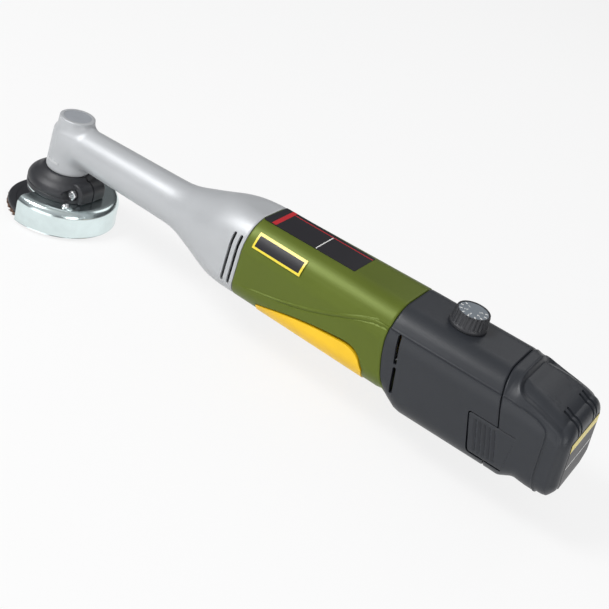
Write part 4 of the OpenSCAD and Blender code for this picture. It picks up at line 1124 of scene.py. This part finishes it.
def build_battery():
    """Battery case with its scoop, ridges and moulded slots."""
    case = battery_solid("battery_shell", lambda z: pack_seam(z) + PACK_GAP, 0.0, 130,
                         battery_relief, CHARCOAL)
    cutters = [battery_solid("hollow", lambda z: PACK_X + 1.8, 4.4, 12, None, None)]
    cutters.append(handle_loft("mouth", lambda z: pack_seam(z) - 2, lambda z: PACK_X + 2.5,
                               even(6), None, 3.2))
    for y in MARK_YS:
        cutters.append(side_prism("cut_slot", SLOT_SIDE, y - SLOT_HALF, y + SLOT_HALF))
    cutters += side_cuts("cut_latch", latch_outline(0.36, 0.03), 18.8)
    combine(case, cutters)
    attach(case, "battery")
    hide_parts("battery_case")


# Speed dial
DIAL_TOP = DIAL_Z + 6.27


def build_dial():
    """Fluted tapered knob and its grey face."""
    flutes, steps, flute_depth = 26, 312, 0.38
    profile = smooth_path([(8.1, 0.0), (8.15, 0.9), (7.75, 1.4), (7.2, 6.3), (6.9, 6.75),
                           (6.4, 6.7), (6.35, 6.25), (AXIS_R, 6.25)],
                          [0, 0.3, 0.3, 0.5, 0.3, 0.2, 0.1, 0], 5)
    points = []
    for i in range(steps):
        turn = 2 * math.pi * i / steps
        wave = 0.5 + 0.5 * math.cos(turn * flutes)
        for radius, height in profile:
            depth = 0.0
            if 1.4 < height < 6.6 and radius > 6.5:
                fade = min(1.0, (height - 1.4) / 0.5, (6.7 - height) / 0.5)
                depth = flute_depth * (1 - wave) * max(0.0, fade)
            reach = radius - depth
            points.append((DIAL_X + reach * math.cos(turn), reach * math.sin(turn),
                           DIAL_Z + height))
    knob = make_piece("speed_knob", points, turned_faces(steps, len(profile)), BLACK, "dial")
    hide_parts("dial_knob")
    face = flat_prism("speed_face", circle(DIAL_X, 0, 6.3, 96), DIAL_TOP, DIAL_TOP + 0.12,
                      DIAL_GREY, "dial")
    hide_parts("dial_face")


def build_dial_marks():
    """Ring of nine plain marks on the face."""
    points, faces = [], []
    for k in range(9):
        turn = math.radians(-210 + 30 * k)
        u, v = math.cos(turn), math.sin(turn)
        faces += prism_faces(4, len(points))
        for z in (DIAL_TOP + 0.10, DIAL_TOP + 0.16):
            points += [(DIAL_X + a * u - b * v, a * v + b * u, z)
                       for a, b in box(4.7, -0.28, 5.9, 0.28)]
    ticks = make_piece("speed_marks", points, faces, PRINT_WHITE, "dial")


def build_dial_numbers():
    """Plain numbers from 1 to 5 on the face."""
    ring = 3.2
    for k, number in enumerate("12345"):
        name = "speed_number_" + number
        curve = bpy.data.curves.new(name, "FONT")
        curve.body = number
        curve.size = 2.2 * MM
        curve.extrude = 0.03 * MM
        curve.align_x = "CENTER"
        curve.align_y = "CENTER"
        label = bpy.data.objects.new(name, curve)
        scene.collection.objects.link(label)
        graph = bpy.context.evaluated_depsgraph_get()
        mesh = bpy.data.meshes.new_from_object(label.evaluated_get(graph))
        turn = math.radians(-210 + 60 * k)
        centre = Vector((DIAL_X + ring * math.cos(turn), ring * math.sin(turn), DIAL_TOP + 0.13))
        mesh.transform(Matrix.Translation(centre * MM) @ Matrix.Rotation(turn + math.pi / 2, 4, "Z"))
        bpy.data.objects.remove(label)
        digit = bpy.data.objects.new(name, mesh)
        scene.collection.objects.link(digit)
        mesh.materials.clear()
        mesh.materials.append(PRINT_WHITE)
        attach(digit, "dial")


# Labels and badges, all without words
def build_labels():
    """Top label with its stripes and lines."""
    label = rounded_outline(box(113.5, -8.8, 160.0, 8.8), [0.6] * 4)
    base = flat_prism("label_top", label, TOP_Z - 0.3, TOP_Z + 0.10, FILM, "housing")
    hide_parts("top_label")
    stripes = [
        ("label_stripe_red", [(117.4, -8.8), (119.7, -8.8), (119.3, 8.8), (117.0, 8.8)], FILM_RED),
        ("label_line_red", box(119.5, 6.2, 159.9, 6.75), FILM_RED),
        ("label_line_white", [(140.0, -8.7), (140.5, -8.7), (140.1, 6.2), (139.6, 6.2)],
         PRINT_WHITE),
    ]
    for name, outline, look in stripes:
        stripe = flat_prism(name, outline, TOP_Z, TOP_Z + 0.13, look, "housing")


def wrapped_plate(name, x0, x1, z0, z1, side, low, high, look):
    """A thin plate that follows the handle's outer surface."""
    rows, columns = 40, 24
    points = []
    for lift in (low, high):
        for i in range(rows + 1):
            for j in range(columns + 1):
                x = x0 + (x1 - x0) * i / rows
                z = z0 + (z1 - z0) * j / columns
                y, ny, nz = surface_at(x, z)
                points.append((x, side * (y + ny * lift), z + nz * lift))
    return make_piece(name, points, plate_faces(rows, columns), look, "housing", sharp=60.0)


def surface_at(x, z):
    """Half width of the outer surface and its outward direction at a place on the side."""
    y0, y1 = side_width(x, z - 0.2), side_width(x, z + 0.2)
    slope = (y1 - y0) / 0.4
    length = math.hypot(1.0, slope)
    return side_width(x, z), 1 / length, -slope / length


def build_badges():
    """Blank badges: a yellow border round a dark field, one on each side."""
    for side, word in ((-1, "left"), (1, "right")):
        plate = wrapped_plate("badge_" + word, 116.9, 142.0, 45.4, 51.4, side, -0.2, 0.25, BADGE)
        if side < 0:
            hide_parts("side_badges")
        field = wrapped_plate("badge_field_" + word, 117.9, 141.0, 46.3, 50.5, side, 0.1, 0.29,
                              FILM)


def build_rear_plate():
    """Blank plate on the battery's rear face: a yellow band over a dark field with a line."""
    parts = [("rear_plate", 15.8, 19.0, 41.5, 0.12, FILM),
             ("rear_plate_band", 15.8, 37.6, 41.5, 0.16, BADGE),
             ("rear_plate_line", 14.6, 29.6, 30.2, 0.16, PRINT_WHITE)]
    rows = 24
    for name, half, z0, z1, lift, look in parts:
        points = []
        for depth in (-0.25, lift):
            for i in range(rows + 1):
                z = z0 + (z1 - z0) * i / rows
                x = END_X - max(0.0, z - LEAN_Z) * LEAN + depth
                reach = half - 3.4 * max(0.0, (27.0 - z) / 8.0) ** 2
                points += [(x, -reach, z), (x, reach, z)]
        plate = make_piece(name, points, plate_faces(rows, 1), look, "battery")
        if name == "rear_plate":
            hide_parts("battery_label")


build_casting()
build_direction_mark()
build_guard()
build_clamp()
build_clamp_bolt()
build_plate_screws()
build_backing()
build_flaps()
build_front_shell()
build_paddle()
build_rear_shell()
build_latches()
build_battery()
build_dial()
build_dial_marks()
build_dial_numbers()
build_labels()
build_badges()
build_rear_plate()


# Camera at the photograph's angle
RIGHT = Vector((0.8012, 0.5295, 0.2789))
DOWN = Vector((0.4888, -0.3103, -0.8153))
FORWARD = Vector((-0.3452, 0.7895, -0.5074))
CAMERA_PLACE = Vector((304.88, -377.56, 265.49))
FOCAL_PIXELS = 1105.0
PHOTO_PIXELS = 609.0
SENSOR = 36.0
camera_data = bpy.data.cameras.new("camera")
camera_data.sensor_width = SENSOR
camera_data.sensor_fit = "HORIZONTAL"
camera_data.lens = FOCAL_PIXELS * SENSOR / PHOTO_PIXELS
camera_data.clip_start = 0.01
camera_data.clip_end = 20.0
camera = bpy.data.objects.new("camera", camera_data)
scene.collection.objects.link(camera)
turn = Matrix((RIGHT, -DOWN, -FORWARD)).transposed().to_4x4()
camera.matrix_world = Matrix.Translation(CAMERA_PLACE * MM) @ turn
scene.camera = camera


# Studio light
def area_light(name, place, target, size, power, colour=(1, 1, 1)):
    """A soft square light that looks at a point; lengths in metres."""
    data = bpy.data.lights.new(name, "AREA")
    data.shape = "SQUARE"
    data.size = size
    data.energy = power
    data.color = colour
    light = bpy.data.objects.new(name, data)
    scene.collection.objects.link(light)
    aim = Vector(target) - Vector(place)
    light.rotation_euler = aim.to_track_quat("-Z", "Y").to_euler()
    light.location = place


area_light("key", (-0.30, -0.45, 0.80), (0.12, 0, 0.03), 0.34, 6.0)
area_light("front", (0.10, -0.95, 0.12), (0.12, 0, 0.03), 0.70, 2.3)
area_light("right", (0.85, -0.40, 0.35), (0.20, 0, 0.04), 0.30, 1.6)
area_light("back", (0.20, 0.65, 0.60), (0.12, 0, 0.03), 0.45, 0.7)

# Surroundings: bright above and at the horizon, dim between them, dimmer behind the part
world = bpy.data.worlds.new("studio")
scene.world = world
world.use_nodes = True
tree = world.node_tree
coords = tree.nodes.new("ShaderNodeTexCoord")
split = tree.nodes.new("ShaderNodeSeparateXYZ")
tree.links.new(coords.outputs["Generated"], split.inputs["Vector"])
sky = ramp(tree, span(tree, split.outputs["Z"], 0.0, 1.0, -1.0), [
    (0.0, (0.90, 0.90, 0.91)), (0.53, (0.90, 0.90, 0.91)), (0.57, (0.10, 0.105, 0.115)),
    (0.70, (0.34, 0.345, 0.36)), (0.86, (0.80, 0.80, 0.82)), (1.0, (0.95, 0.95, 0.95))])
background = tree.nodes["Background"]
tree.links.new(sky, background.inputs["Color"])
strength = span(tree, split.outputs["Y"], 0.75, 0.22, -1.0)
tree.links.new(strength, background.inputs["Strength"])

# Floor: near white to the camera and in reflections, with a soft shadow; in metres
FLOOR_Z = -0.0052
FLOOR_HALF = 30.0
FLOOR_GLOW = 0.82
FLOOR_GREY = 0.82
floor_mesh = bpy.data.meshes.new("floor")
corners = box(-FLOOR_HALF, -FLOOR_HALF, FLOOR_HALF, FLOOR_HALF)
floor_mesh.from_pydata([(x, y, FLOOR_Z) for x, y in corners], [], [(0, 1, 2, 3)])
floor = bpy.data.objects.new("floor", floor_mesh)
scene.collection.objects.link(floor)
floor_look, floor_tree, floor_shader = node_tree("pale_floor")
floor_shader.inputs["Base Color"].default_value = (FLOOR_GREY, FLOOR_GREY, FLOOR_GREY, 1.0)
floor_shader.inputs["Roughness"].default_value = 0.9
floor_shader.inputs["Specular IOR Level"].default_value = 0.1
floor_path = floor_tree.nodes.new("ShaderNodeLightPath")
glow = floor_tree.nodes.new("ShaderNodeEmission")
blend = floor_tree.nodes.new("ShaderNodeMixShader")
seen = floor_path.outputs["Is Camera Ray"]
for kind in ("Is Glossy Ray", "Is Transmission Ray"):
    either = floor_tree.nodes.new("ShaderNodeMath")
    either.operation = "MAXIMUM"
    floor_tree.links.new(seen, either.inputs[0])
    floor_tree.links.new(floor_path.outputs[kind], either.inputs[1])
    seen = either.outputs["Value"]
share = floor_tree.nodes.new("ShaderNodeMath")
share.operation = "MULTIPLY"
share.inputs[1].default_value = FLOOR_GLOW
floor_tree.links.new(seen, share.inputs[0])
floor_tree.links.new(share.outputs["Value"], blend.inputs["Fac"])
floor_tree.links.new(floor_shader.outputs["BSDF"], blend.inputs[1])
floor_tree.links.new(glow.outputs["Emission"], blend.inputs[2])
floor_tree.links.new(blend.outputs["Shader"], floor_tree.nodes["Material Output"].inputs["Surface"])
floor_mesh.materials.append(floor_look)

scene.view_settings.view_transform = "Standard"
